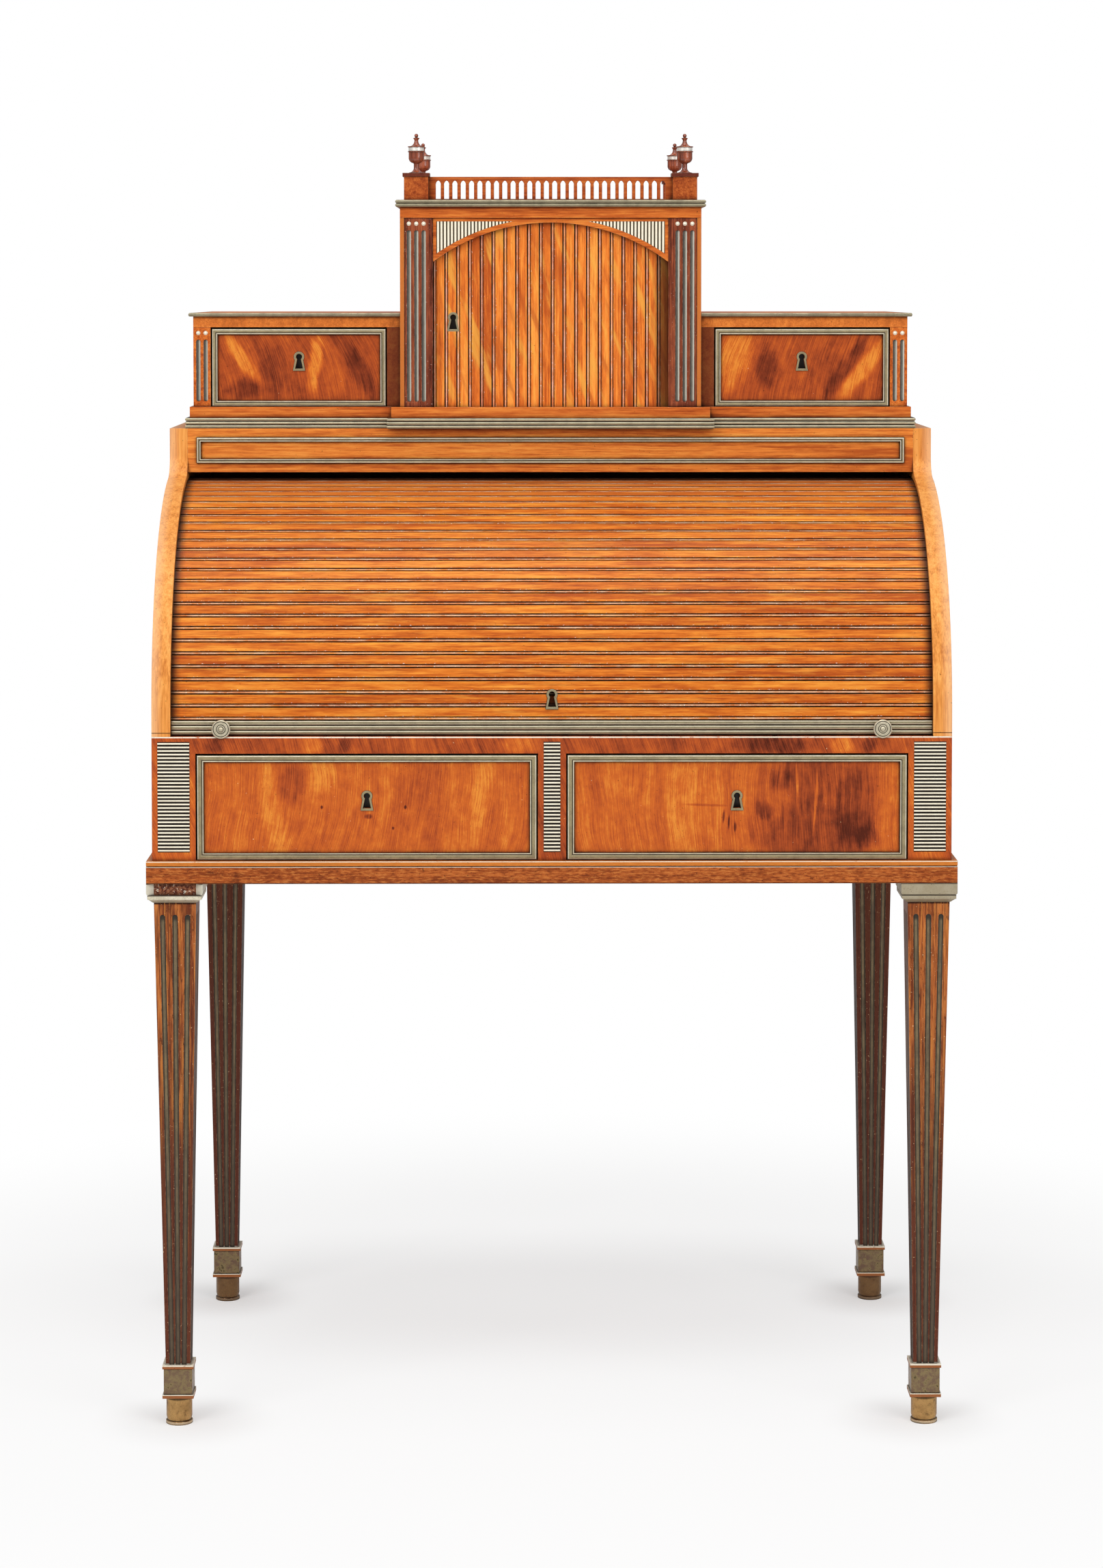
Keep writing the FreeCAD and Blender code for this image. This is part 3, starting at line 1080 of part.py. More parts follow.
def urn_wire(x, y):
    """Half section of an urn finial, with a groove under its lid for the band."""
    def at(radius, height):
        return Vec(x + radius, y, Z_FINIAL + height)
    stem_low = FINIAL_FOOT_EDGE + FINIAL_FOOT - FINIAL_STEM
    bowl_low = FINIAL_STEM_HEIGHT + FINIAL_COLLAR
    rim_low = bowl_low + FINIAL_BOWL_HEIGHT
    lid_low = band_low + FINIAL_BAND_HEIGHT + FINIAL_RIM_HEIGHT
    lid_high = lid_low + FINIAL_LID_HEIGHT
    collar_high = lid_high + FINIAL_NECK_HEIGHT
    ball_low = collar_high + FINIAL_COLLAR
    ball_mid = ball_low + math.sqrt(FINIAL_BALL ** 2 - FINIAL_NECK ** 2 / 4)
    collar = FINIAL_STEM + FINIAL_COLLAR
    groove = FINIAL_BOWL - FINIAL_BAND
    return Part.Wire([
        line(at(0, 0), at(FINIAL_FOOT, 0)),
        line(at(FINIAL_FOOT, 0), at(FINIAL_FOOT, FINIAL_FOOT_EDGE)),
        quarter(at(FINIAL_FOOT, FINIAL_FOOT_EDGE), at(FINIAL_STEM, stem_low),
                at(FINIAL_STEM, FINIAL_FOOT_EDGE)),
        line(at(FINIAL_STEM, stem_low), at(FINIAL_STEM, FINIAL_STEM_HEIGHT)),
        line(at(FINIAL_STEM, FINIAL_STEM_HEIGHT), at(collar, bowl_low)),
        quarter(at(collar, bowl_low), at(FINIAL_BOWL, bowl_low + FINIAL_BOWL_CURVE),
                at(FINIAL_BOWL, bowl_low)),
        line(at(FINIAL_BOWL, bowl_low + FINIAL_BOWL_CURVE), at(FINIAL_BOWL, rim_low)),
        line(at(FINIAL_BOWL, rim_low), at(FINIAL_RIM, rim_low)),
        line(at(FINIAL_RIM, rim_low), at(FINIAL_RIM, band_low)),
        line(at(FINIAL_RIM, band_low), at(groove, band_low)),
        line(at(groove, band_low), at(groove, lid_low - FINIAL_RIM_HEIGHT)),
        line(at(groove, lid_low - FINIAL_RIM_HEIGHT), at(FINIAL_RIM, lid_low - FINIAL_RIM_HEIGHT)),
        line(at(FINIAL_RIM, lid_low - FINIAL_RIM_HEIGHT), at(FINIAL_RIM, lid_low)),
        line(at(FINIAL_RIM, lid_low), at(FINIAL_LID, lid_low)),
        quarter(at(FINIAL_LID, lid_low), at(FINIAL_NECK, lid_high), at(FINIAL_NECK, lid_low)),
        line(at(FINIAL_NECK, lid_high), at(collar, collar_high)),
        line(at(collar, collar_high), at(FINIAL_NECK / 2, ball_low)),
        arc(at(FINIAL_NECK / 2, ball_low), at(FINIAL_BALL, ball_mid), at(0, ball_mid + FINIAL_BALL)),
        line(at(0, ball_mid + FINIAL_BALL), at(0, 0)),
    ])


band_low = FINIAL_STEM_HEIGHT + FINIAL_COLLAR + FINIAL_BOWL_HEIGHT + FINIAL_RIM_HEIGHT
post_x = HALF_CABINET - POST_INSET
post_y0, post_y1 = Y_CABINET + POST_INSET, Y_UPPER_BACK - POST_INSET
half_post = POST_SIZE / 2
half_cap = half_post + POST_CAP_LIP
z_rail = Z_GALLERY + GALLERY_HEIGHT
half_rail = GALLERY_THICKNESS / 2
rail_x = post_x - half_post
rail_y0, rail_y1 = post_y0 + half_post, post_y1 - half_post
front_rail = box(-rail_x, rail_x, post_y0 - half_rail, post_y0 + half_rail, Z_GALLERY, z_rail)
front_rail = front_rail.cut(lancets(-rail_x, rail_x, X_DIR, Vec(0, post_y0, Z_GALLERY)))
side_rail = box(post_x - half_rail, post_x + half_rail, rail_y0, rail_y1, Z_GALLERY, z_rail)
side_rail = side_rail.cut(lancets(rail_y0, rail_y1, Vec(0, 1, 0), Vec(post_x, 0, Z_GALLERY)))
gallery = [front_rail] + both_sides(side_rail)
finials, finial_bands = [], []
for x in (-post_x, post_x):
    for y in (post_y0, post_y1):
        stem = box(x - half_post, x + half_post, y - half_post, y + half_post, Z_GALLERY, z_rail)
        cap = box(x - half_cap, x + half_cap, y - half_cap, y + half_cap, z_rail, Z_FINIAL)
        gallery.append(stem.fuse(cap))
        finials.append(Part.Face(urn_wire(x, y)).revolve(Vec(x, y, 0), UP, 360))
        ring = Part.makeCylinder(FINIAL_BOWL, FINIAL_BAND_HEIGHT, Vec(x, y, Z_FINIAL + band_low))
        finial_bands.append(ring.cut(Part.makeCylinder(FINIAL_BOWL - FINIAL_BAND, FINIAL_BAND_HEIGHT,
                                                       Vec(x, y, Z_FINIAL + band_low))))
save("gallery", gallery)
save("finials", finials)
save("finial_bands", finial_bands)
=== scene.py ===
import math

import bpy
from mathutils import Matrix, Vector


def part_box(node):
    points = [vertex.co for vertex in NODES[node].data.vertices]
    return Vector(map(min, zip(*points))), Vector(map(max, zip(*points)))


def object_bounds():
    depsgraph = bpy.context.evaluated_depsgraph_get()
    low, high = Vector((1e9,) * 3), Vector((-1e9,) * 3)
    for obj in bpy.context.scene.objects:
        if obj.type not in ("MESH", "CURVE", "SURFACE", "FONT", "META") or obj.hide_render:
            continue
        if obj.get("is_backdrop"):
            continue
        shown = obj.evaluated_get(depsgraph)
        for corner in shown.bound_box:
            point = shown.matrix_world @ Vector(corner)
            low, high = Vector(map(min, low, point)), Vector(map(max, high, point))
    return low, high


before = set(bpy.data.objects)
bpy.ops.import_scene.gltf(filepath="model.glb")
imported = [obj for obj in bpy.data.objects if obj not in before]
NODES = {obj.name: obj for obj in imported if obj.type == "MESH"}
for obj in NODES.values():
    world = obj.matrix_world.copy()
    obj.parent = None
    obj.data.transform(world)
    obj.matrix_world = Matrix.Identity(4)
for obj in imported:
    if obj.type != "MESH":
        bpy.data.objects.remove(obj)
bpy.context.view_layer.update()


def lowest(node):
    """The node's lowest corner at rest, in metres."""
    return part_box(node)[0]


def highest(node):
    """The node's highest corner at rest, in metres."""
    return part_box(node)[1]


# Camera and stage, in metres and degrees
CAMERA_PLACE = Vector((-0.029, -4.19, 1.221))
CAMERA_PITCH = 2.8
CAMERA_YAW = 0.415
CAMERA_LENS = 85.0
CAMERA_SHIFT = -0.2
FLOOR_SIZE = 14.0
FLOOR_TONE = (0.93, 0.93, 0.93, 1)
# The floor's white glow, lower under the object and at the feet, paints where the shadow shows over the real
# shading
FLOOR_LIFT = 0.62
SHADOW_PLACE = (0, 0.25, 0)
SHADOW_SHAPE = (0.6, 1.5, 1)
SHADOW_FADE = (0.15, 0.55)
FOOT_PLACE = (0.395, 0.245, 0)
FOOT_FADE = (0.02, 0.11)
FOOT_LIFT = 0.55
FLOOR_FADE = (0.7, 1.3)
WHITE = (1, 1, 1, 1)
AMBIENT = 0.34
ROOM_DIM = 0.28
ROOM_BRIGHT = 0.65
ROOM_RISE = (0.1, 0.7)
LAMPS = [
    {"name": "key", "place": (-2.4, -3.4, 3.0), "size": 2.2, "power": 84},
    {"name": "fill", "place": (2.6, -3.2, 2.6), "size": 2.2, "power": 60},
    {"name": "top", "place": (0.0, -1.0, 4.2), "size": 2.0, "power": 44},
]
LAMP_TARGET = Vector((0, 0, 0.8))

# Places on the object in metres, from the frame or from the part's own sizes
FRONT_TO_REAR = (-0.1, 0.1)
REAR_TO_FRONT = (0.1, -0.1)
LEFT_TO_RIGHT = (-0.1, 0.1)
LEG_FOOT = lowest("leg_front_left").z
LEG_FRONT = lowest("leg_front_left").y
ANKLE_STEP = 0.004
ANKLE_PLATE_FOOT = LEG_FOOT + ANKLE_STEP
ANKLE_PLATE_TOP = highest("sabots").z
ANKLE_TOP = lowest("leg_flutes").z
FLUTES_TOP = highest("leg_flutes").z
LEG_DARKENS = (0.50, 0.26)
LEG_BRIGHTENS = (0.12, 0.50)
FLUTES_DARKEN = (0.40, 0.08)
CAPITAL_FOOT, CAPITAL_TOP = lowest("leg_capitals").z, highest("leg_capitals").z
PLATE_HEIGHT = 0.008
CAPITAL_PLATE = CAPITAL_FOOT + PLATE_HEIGHT
LEFT_CAPITAL = (-0.37, -0.372)
APRON_FOOT, APRON_TOP = lowest("apron_frame").z, highest("apron_frame").z
WRITING_LEVEL = highest("face_frame").z
CHEEK_OUTSIDE, CHEEK_INSIDE = highest("cheek_right").x, lowest("cheek_right").x
CYLINDER_Y, CYLINDER_Z, CYLINDER_RADIUS = -0.016, 0.7636, 0.246
RAIL_BELOW_AXIS, RAIL_WIDTH, SLAT_PITCH = 0.0177, 0.0166, 0.014
SLATS_FROM = RAIL_WIDTH / CYLINDER_RADIUS - math.asin(RAIL_BELOW_AXIS / CYLINDER_RADIUS)
SLAT_ANGLE = SLAT_PITCH / CYLINDER_RADIUS
KNOB_X, KNOB_Z = 0.352, 0.7542
KNOB_RINGS = ((0.0077, 0.0085), (0.0043, 0.0050), (0.0024, 0.0029))
SHUTTER_LEFT, SHUTTER_RIGHT = lowest("shutter_slats").x, highest("shutter_slats").x
SHUTTER_PITCH = 0.0132
WING_TOPS_FOOT = lowest("upper_tops").z
WINGS_BELOW = (1.25, 1.24)
PILASTERS_OUTSIDE, PILASTERS_FRONT = highest("pilasters").x, lowest("pilasters").y
CABINET_STUDS, WING_STUDS = (1.2893, 1.2897), (1.1683, 1.1687)
CABINET_TO_WINGS = (0.25, 0.3)
WINGS_TO_CABINET = (0.3, 0.25)
CAP_HEIGHT = 0.004
GALLERY_CAPS = highest("gallery").z - CAP_HEIGHT
ARCH_ABOVE = (0.9, 1.0)
FRAME_BEAD = 0.0019
BASE_FRAME, WING_FRAME, FRIEZE_FRAME = 0.0075, 0.0065, 0.005
LOCK_DEPTH = 0.004
SHUTTER_LOCK_DEPTH = 0.0035
LOCK_EDGE = 0.001

# Fades and lines in metres from a piece's edge or level: start and end, and for a line how soft it is
# The first pair is painted shade along the apron's lower edge
APRON_SHADE, APRON_STRIP = (0.0016, 0.0008), (-0.0052, -0.0046)
CHEEK_EDGE, CHEEK_SEAM = (-0.013, 0.0002), (0.0034, 0.0044, 0.0003)
# Painted shade at the cylinder's ends beside the cheeks, and on the shutter's last slat
CYLINDER_END_SHADE, SHUTTER_END_SHADE = (-0.012, -0.001), (-0.020, -0.008)
# The first is a painted shadow under the capitals
UNDER_CAPITAL, BARE_HEAD = (-0.0020, 0.0004, 0.0003), (-0.0005, 0.0005)
# Painted shade on the capital's sloped underside, and painted shadow under the apron along its top
CAPITAL_SLOPE, CAPITAL_EDGE = (0.0042, 0.0010), (-0.0012, -0.0004)
PLATE_LINE = (-0.0005, 0.0003, 0.0002)
BROKEN_FRONT, BROKEN_FOOT = (0.0035, 0.0015), (-0.0002, 0.0004)
ANKLE_RIM = (0, ANKLE_STEP, 0.0004)
PLATE_LOW, PLATE_HIGH = (0.0012, 0.0004), (-0.0012, -0.0004)
CUP_END, CUP_NECK = (-0.0005, 0.0005), (-0.0038, -0.0022)
CUP_GROOVE, CUP_RING = (0.0034, 0.0046, 0.0004), (0.0006, 0.0030, 0.0004)
FLUTE_ENDS = (-0.0088, -0.0038)
WING_WALL, WALL_TOP = (0, 0.016, 0.0004), (0.0014, 0.0004)
PILASTER_EDGE, CAP_EDGE = (0.0007, 0.0003), (-0.0002, 0.0002)
KNOB_RING_SOFT = 0.0002
# A brass frame's painted shade at its rim, in its groove and along its inside, and painted highlights on its
# pale lines
FRAME_RIM, FRAME_PALE = (0.0006, 0.0003), (0.0008, 0.0015, 0.0003)
BEAD_PALE, GROOVE_DARK = (0.0006, 0.0012, 0.0003), (-0.0006, 0.0002, 0.0002)
FRAME_INSIDE = (-0.0004, 0.0004, 0.0001)

# Painted highlight lines, rubbed unevenly: level and half height in metres, and strength
APRON_LINES = ((APRON_TOP - 0.0004, 0.0006, 0.8), (APRON_TOP - 0.0062, 0.0005, 0.5))
ANKLE_LINES = ((ANKLE_PLATE_FOOT - 0.0002, 0.0006, 0.9), (ANKLE_TOP, 0.0012, 0.95))
WRITING_LINE = (WRITING_LEVEL - 0.0006, 0.0008, 0.9)

# Shading: edge radii and merging in metres, threads in radians per metre, and what makes an edge sharp
EDGE_RADIUS = {"wood": 0.0007, "veneer": 0.0005, "brass": 0.0006, "canvas": 0.0003}
THREADS = 5200.0
MERGE_DISTANCE = 0.00001
CREASE_ANGLE = math.radians(28)
MORE_THAN_TWO = 2.5

# Wood tones as linear colours: dark streak, body, light streak
SLAT_TONES = ((0.40, 0.072, 0.010, 1), (0.68, 0.175, 0.018, 1), (0.86, 0.33, 0.045, 1))
SHUTTER_TONES = ((0.46, 0.085, 0.014, 1), (0.80, 0.205, 0.028, 1), (0.94, 0.38, 0.065, 1))
FRIEZE_TONES = ((0.46, 0.095, 0.016, 1), (0.74, 0.215, 0.034, 1), (0.88, 0.35, 0.065, 1))
CHEEK_TONES = ((0.54, 0.160, 0.028, 1), (0.79, 0.305, 0.064, 1), (0.90, 0.44, 0.120, 1))
TOP_TONES = ((0.33, 0.056, 0.010, 1), (0.59, 0.135, 0.022, 1), (0.76, 0.24, 0.042, 1))
GALLERY_TONES = ((0.23, 0.038, 0.010, 1), (0.43, 0.092, 0.019, 1), (0.58, 0.16, 0.032, 1))
APRON_TONES = ((0.22, 0.042, 0.008, 1), (0.41, 0.096, 0.019, 1), (0.58, 0.16, 0.032, 1))
LEG_TONES = ((0.15, 0.034, 0.012, 1), (0.44, 0.125, 0.030, 1), (0.64, 0.23, 0.055, 1))
PILASTER_TONES = ((0.07, 0.015, 0.008, 1), (0.22, 0.050, 0.022, 1), (0.42, 0.110, 0.042, 1))
URN_TONES = ((0.08, 0.017, 0.009, 1), (0.26, 0.060, 0.027, 1), (0.44, 0.120, 0.055, 1))
PLAIN_TONES = ((0.30, 0.13, 0.05, 1), (0.46, 0.23, 0.10, 1), (0.58, 0.32, 0.16, 1))
FLAME_TONES = ((0.085, 0.015, 0.006, 1), (0.23, 0.040, 0.013, 1), (0.43, 0.078, 0.017, 1),
               (0.61, 0.132, 0.019, 1), (0.78, 0.27, 0.038, 1))
CANVAS_TONES = ((0.20, 0.14, 0.08, 1), (0.42, 0.33, 0.21, 1), (0.52, 0.43, 0.30, 1))

# Tones of soiling, rubbing and marks, and of painted shade and painted highlights
# The two dark tones serve for real soiling and also as painted shade and shadow in corners, grooves and under
# parts
DIRT_AND_SHADE = (0.022, 0.008, 0.004, 1)
BRASS_DIRT_AND_SHADE = (0.028, 0.020, 0.012, 1)
# Pale tone for rubbed edges, also a painted highlight along them
RUBBED_AND_HIGHLIGHT = (0.86, 0.60, 0.32, 1)
CREAM = (0.90, 0.84, 0.68, 1)
# Near black, so that behind the keyholes it is also painted shade
IRON = (0.030, 0.026, 0.022, 1)
# high is painted shade on the cylinder's upper slats
SLAT_MARKS = {"light": (0.86, 0.37, 0.055, 1), "dark": (0.46, 0.080, 0.010, 1),
              "high": (0.40, 0.085, 0.020, 1)}
SHUTTER_MARKS = {"light": (0.84, 0.40, 0.065, 1), "dark": (0.44, 0.080, 0.014, 1)}
APRON_MARKS = {"light": (0.60, 0.20, 0.046, 1), "dark": (0.16, 0.030, 0.008, 1),
               "bruise": (0.09, 0.018, 0.006, 1), "speck": (0.06, 0.014, 0.006, 1),
               "strip": (0.68, 0.22, 0.032, 1)}
CHEEK_MARKS = {"speck": (0.20, 0.040, 0.010, 1), "glare": (0.93, 0.70, 0.48, 1)}
# The rear tone and the tone for faces turned inward are painted shade
LEG_MARKS = {"rear": (0.075, 0.021, 0.013, 1), "low": (0.105, 0.029, 0.016, 1),
             "line": (0.075, 0.020, 0.011, 1), "light": (0.62, 0.23, 0.045, 1),
             "inner": (0.05, 0.022, 0.020, 1), "fleck": (0.06, 0.016, 0.008, 1),
             "ankle": (0.42, 0.15, 0.05, 1), "torn": (0.10, 0.022, 0.012, 1), "raw": (0.40, 0.15, 0.07, 1)}
UPPER_MARKS = {"wall": (0.12, 0.026, 0.012, 1), "wing": (0.82, 0.27, 0.050, 1),
               "cap": (0.085, 0.020, 0.016, 1)}
# dark and pale are painted shade and painted highlight on the sides of the flutes
PILASTER_MARKS = {"speck": (0.62, 0.42, 0.32, 1), "edge": (0.60, 0.18, 0.035, 1),
                  "dark": (0.045, 0.042, 0.040, 1), "pale": (0.80, 0.77, 0.66, 1)}
# Painted highlight on the reeds' shoulders and painted shade where two reeds meet
REED_MARKS = {"pale": (0.84, 0.79, 0.64, 1), "dark": (0.036, 0.026, 0.014, 1)}
# Tones of the painted shade between the ribs
RIB_MARKS = {"dark": (0.026, 0.016, 0.008, 1), "arch": (0.16, 0.12, 0.06, 1)}
KNOB_DARK = (0.060, 0.045, 0.025, 1)
# slope is painted shade on the capital's sloped underside
CAPITAL_MARKS = {"slope": (0.20, 0.155, 0.09, 1), "right": (0.26, 0.20, 0.11, 1)}
# rear is painted shade on the rear feet
FOOT_MARKS = {"brown": (0.20, 0.125, 0.085, 1), "olive": (0.30, 0.225, 0.11, 1),
              "stain": (0.10, 0.055, 0.025, 1), "ring": (0.80, 0.70, 0.54, 1),
              "rear": (0.12, 0.062, 0.038, 1)}
FLUTE_MARKS = {"mottle": (0.070, 0.050, 0.034, 1), "low": (0.060, 0.040, 0.027, 1)}

# Old brass: bright and dull tones, with roughness, metallic share and patina where they differ from the rest
PLAIN_BRASS = {"bright": (0.39, 0.33, 0.195, 1), "dull": (0.20, 0.165, 0.095, 1)}
FRAME_BRASS = {"bright": (0.36, 0.295, 0.16, 1), "dull": (0.19, 0.15, 0.08, 1), "metal": 0.3}
CORNICE_BRASS = {"bright": (0.32, 0.28, 0.18, 1), "dull": (0.16, 0.135, 0.085, 1)}
CAPITAL_BRASS = {"bright": (0.80, 0.73, 0.56, 1), "dull": (0.50, 0.43, 0.29, 1), "metal": 0.35}
KNOB_BRASS = {"bright": (0.70, 0.63, 0.47, 1), "dull": (0.45, 0.39, 0.26, 1), "rough": 0.28, "metal": 0.7}
RIB_BRASS = {"bright": (0.96, 0.89, 0.71, 1), "dull": (0.80, 0.71, 0.53, 1), "rough": 0.4, "metal": 0.25,
             "patina": 0.4}
BAND_BRASS = {"bright": (0.95, 0.92, 0.84, 1), "dull": (0.62, 0.58, 0.52, 1), "rough": 0.3, "metal": 0.3}
FLUTE_BRASS = {"bright": (0.23, 0.165, 0.08, 1), "dull": (0.13, 0.09, 0.044, 1), "rough": 0.46, "metal": 0.2}
PILASTER_BRASS = {"bright": (0.2, 0.18, 0.14, 1), "dull": (0.11, 0.098, 0.078, 1), "rough": 0.4, "metal": 0.4}
FOOT_BRASS = {"bright": (0.54, 0.32, 0.12, 1), "dull": (0.30, 0.165, 0.060, 1), "rough": 0.24, "metal": 0.9}
LOCK_IRON = {"bright": (0.10, 0.09, 0.08, 1), "dull": IRON, "rough": 0.5}

# Slats: lines and joints as shares of the pitch, with a painted highlight on the bead and painted shade in
# quirk and joints, and the cylinder's painted shade on its upper slats and painted shadow at its upper end in
# radians
SLAT_LINES = {"bead": (0.036, 0.207), "quirk": (0.210, 0.280), "tone": (0.78, 0.56, 0.38, 1), "pale": 0.7,
              "shadow": DIRT_AND_SHADE}
SHUTTER_LINES = {"bead": (0.0, 0.182), "quirk": (0.195, 0.250), "tone": (0.88, 0.58, 0.46, 1), "pale": 0.6,
                 "shadow": (0.15, 0.028, 0.010, 1)}
LAST_JOINT, FIRST_JOINT = (0.936, 0.970), (0.045, 0.025)
BEAD_RIMS, LINE_SOFT = (0.03, 0.02), 0.014
SLATS_SHADED_HIGH, CYLINDER_TOP_SHADOW = (1.05, 1.45), (1.40, 1.46)


def feed(tree, socket, value):
    """Link a socket to another one, or set its value."""
    if isinstance(value, bpy.types.NodeSocket):
        tree.links.new(value, socket)
    else:
        socket.default_value = value


def add_node(tree, kind, inputs=None, **settings):
    """Add a node to a tree, with its settings and inputs."""
    node = tree.nodes.new(kind)
    for key, value in settings.items():
        setattr(node, key, value)
    for key, value in (inputs or {}).items():
        feed(tree, node.inputs[key], value)
    return node


class Tree:
    """A material's node tree, built by short calls."""

    def __init__(self, name):
        self.material = bpy.data.materials.new(name)
        self.material.use_nodes = True
        self.tree = self.material.node_tree
        self.shader = self.tree.nodes["Principled BSDF"]
        places = self.add("TexCoord")
        self.coords = places.outputs["Object"]
        self.x, self.y, self.z = self.split(self.coords)
        self.normal = self.split(places.outputs["Normal"])

    def add(self, kind, inputs=None, **settings):
        return add_node(self.tree, "ShaderNode" + kind, inputs, **settings)

    def set(self, **values):
        for key, value in values.items():
            feed(self.tree, self.shader.inputs[key.replace("_", " ")], value)

    def math(self, operation, *values, clamp=False):
        return self.add("Math", dict(enumerate(values)), operation=operation, use_clamp=clamp).outputs[0]

    def size(self, value):
        """The value without its sign."""
        return self.math("ABSOLUTE", value)

    def vector(self, operation, *values):
        node = self.add("VectorMath", dict(enumerate(values)), operation=operation)
        return node.outputs["Value" if operation in ("DOT_PRODUCT", "LENGTH") else "Vector"]

    def scaled(self, vector, factor):
        return self.add("VectorMath", {0: vector, "Scale": factor}, operation="SCALE").outputs["Vector"]

    def stretch(self, x, y, z):
        """The place with its own scale along each axis."""
        return self.vector("MULTIPLY", self.coords, (x, y, z))

    def mix(self, factor, a, b):
        return self.add("Mix", {0: factor, 6: a, 7: b}, data_type="RGBA").outputs[2]

    def tint(self, colour, tone, mask, share=None):
        """Lay a tone over a colour where the mask is 1."""
        return self.mix(self.part(mask, share) if share else mask, colour, tone)

    def span(self, value, low, high):
        """0 at low and 1 at high, smooth between; low may be the larger one."""
        ends = {"Value": value, "From Min": low, "From Max": high}
        return self.add("MapRange", ends, interpolation_type="SMOOTHSTEP").outputs["Result"]

    def band(self, value, low, high, soft):
        """1 between low and high, 0 outside."""
        return self.both(self.span(value, low - soft, low + soft), self.span(value, high + soft, high - soft))

    def past(self, value, place, start, end):
        """A span whose ends are given from a place."""
        return self.span(value, place + start, place + end)

    def line(self, value, place, low, high, soft):
        """A band whose edges are given from a place."""
        return self.band(value, place + low, place + high, soft)

    def both(self, *masks):
        product = masks[0]
        for mask in masks[1:]:
            product = self.math("MULTIPLY", product, mask)
        return product

    def either(self, *masks):
        total = masks[0]
        for mask in masks[1:]:
            total = self.math("ADD", total, mask, clamp=True)
        return total

    def part(self, mask, share):
        return self.math("MULTIPLY", mask, share)

    def noise(self, vector, scale=1.0, detail=3.0, roughness=0.5, distortion=0.0):
        node = self.add("TexNoise", {"Vector": vector, "Scale": scale, "Detail": detail,
                                     "Roughness": roughness, "Distortion": distortion})
        return node.outputs["Fac"]

    def swing(self, value, size):
        """A 0 to 1 value made to swing about 0."""
        return self.math("MULTIPLY_ADD", value, size, -size / 2)

    def ramp(self, value, colours):
        """Colour between evenly spread colours, by a value from 0 to 1."""
        node = self.add("ValToRGB", {0: value})
        stops = node.color_ramp.elements
        while len(stops) < len(colours):
            stops.new(0.5)
        for i, colour in enumerate(colours):
            stops[i].position = i / (len(colours) - 1)
            stops[i].color = colour
        return node.outputs["Color"]

    def split(self, vector):
        return self.add("SeparateXYZ", {0: vector}).outputs

    def join(self, x, y, z):
        return self.add("CombineXYZ", {0: x, 1: y, 2: z}).outputs[0]

    def hollow(self, distance):
        """1 in narrow corners and grooves, 0 in the open."""
        node = self.add("AmbientOcclusion", {"Distance": distance}, samples=6)
        return self.math("SUBTRACT", 1.0, node.outputs["AO"], clamp=True)

    def round_edges(self, radius):
        """Shade the edges as rounded, and return 1 along them."""
        self.rounded = self.add("Bevel", {"Radius": radius}, samples=4).outputs[0]
        flat = self.add("NewGeometry").outputs["Normal"]
        return self.span(self.vector("DOT_PRODUCT", self.rounded, flat), 0.99, 0.80)

    def bump(self, height, distance, strength=1.0):
        node = self.add("Bump", {"Height": height, "Distance": distance, "Strength": strength,
                                 "Normal": self.rounded})
        self.set(Normal=node.outputs["Normal"])


class Grain:
    """Coordinates that run along each board, with every board cut from another place."""

    def __init__(self, tree, axis=None):
        self.tree = tree
        board = tree.add("Attribute", attribute_name="board").outputs["Fac"]
        random = tree.add("ObjectInfo").outputs["Random"]
        seed = tree.math("MULTIPLY_ADD", random, 37.0, board)
        scatter = tree.add("TexWhiteNoise", {"W": seed}, noise_dimensions="1D")
        self.chance = scatter.outputs["Value"]
        self.point = tree.vector("ADD", tree.coords, tree.scaled(scatter.outputs["Color"], 3.0))
        self.axis = axis or tree.add("Attribute", attribute_name="grain").outputs["Vector"]
        self.along = tree.vector("DOT_PRODUCT", self.point, self.axis)

    def stretched(self, across, along):
        """The point with its own scale across the grain and along it."""
        shift = self.tree.scaled(self.axis, self.tree.math("MULTIPLY", self.along, along - across))
        return self.tree.vector("ADD", self.tree.scaled(self.point, across), shift)


# Soiling and rubbing, with painted shade and painted highlights

def grime_and_painted_shade(tree, colour, reach, amount, tone=DIRT_AND_SHADE):
    """Darken corners and grooves unevenly: old wax and soiling, and painted shade where corners and grooves
    are shaded.
    """
    patches = tree.span(tree.noise(tree.coords, scale=38.0), 0.25, 0.75)
    share = tree.math("MULTIPLY_ADD", patches, 0.5, 0.6)
    hollow = tree.span(tree.hollow(reach), 0.12, 0.52)
    return tree.mix(tree.math("MULTIPLY", tree.both(hollow, share), amount, clamp=True), colour, tone)


def wear_and_highlight(tree, colour, edges, amount, tone=RUBBED_AND_HIGHLIGHT):
    """Rub the edges pale in places: rubbed edges and painted highlights."""
    patchiness = tree.span(tree.noise(tree.coords, scale=160.0, detail=4.0, roughness=0.65), 0.42, 0.66)
    return tree.tint(colour, tone, tree.both(edges, patchiness), amount)


def specks(tree, colour, tone, scale, sparse, amount):
    """Small scattered marks, fewer where sparse is larger."""
    marks = tree.span(tree.noise(tree.coords, scale, detail=2.0, roughness=0.6), sparse, sparse + 0.06)
    return tree.tint(colour, tone, marks, amount)


def highlight_line(tree, colour, level, half, share):
    """Painted highlight line, rubbed unevenly, along an edge at a level, on level faces too."""
    patchiness = tree.span(tree.noise(tree.coords, scale=120.0, detail=4.0, roughness=0.7), 0.25, 0.45)
    line = tree.line(tree.z, level, -half, half, half / 4)
    return tree.tint(colour, CREAM, tree.both(line, patchiness), share)


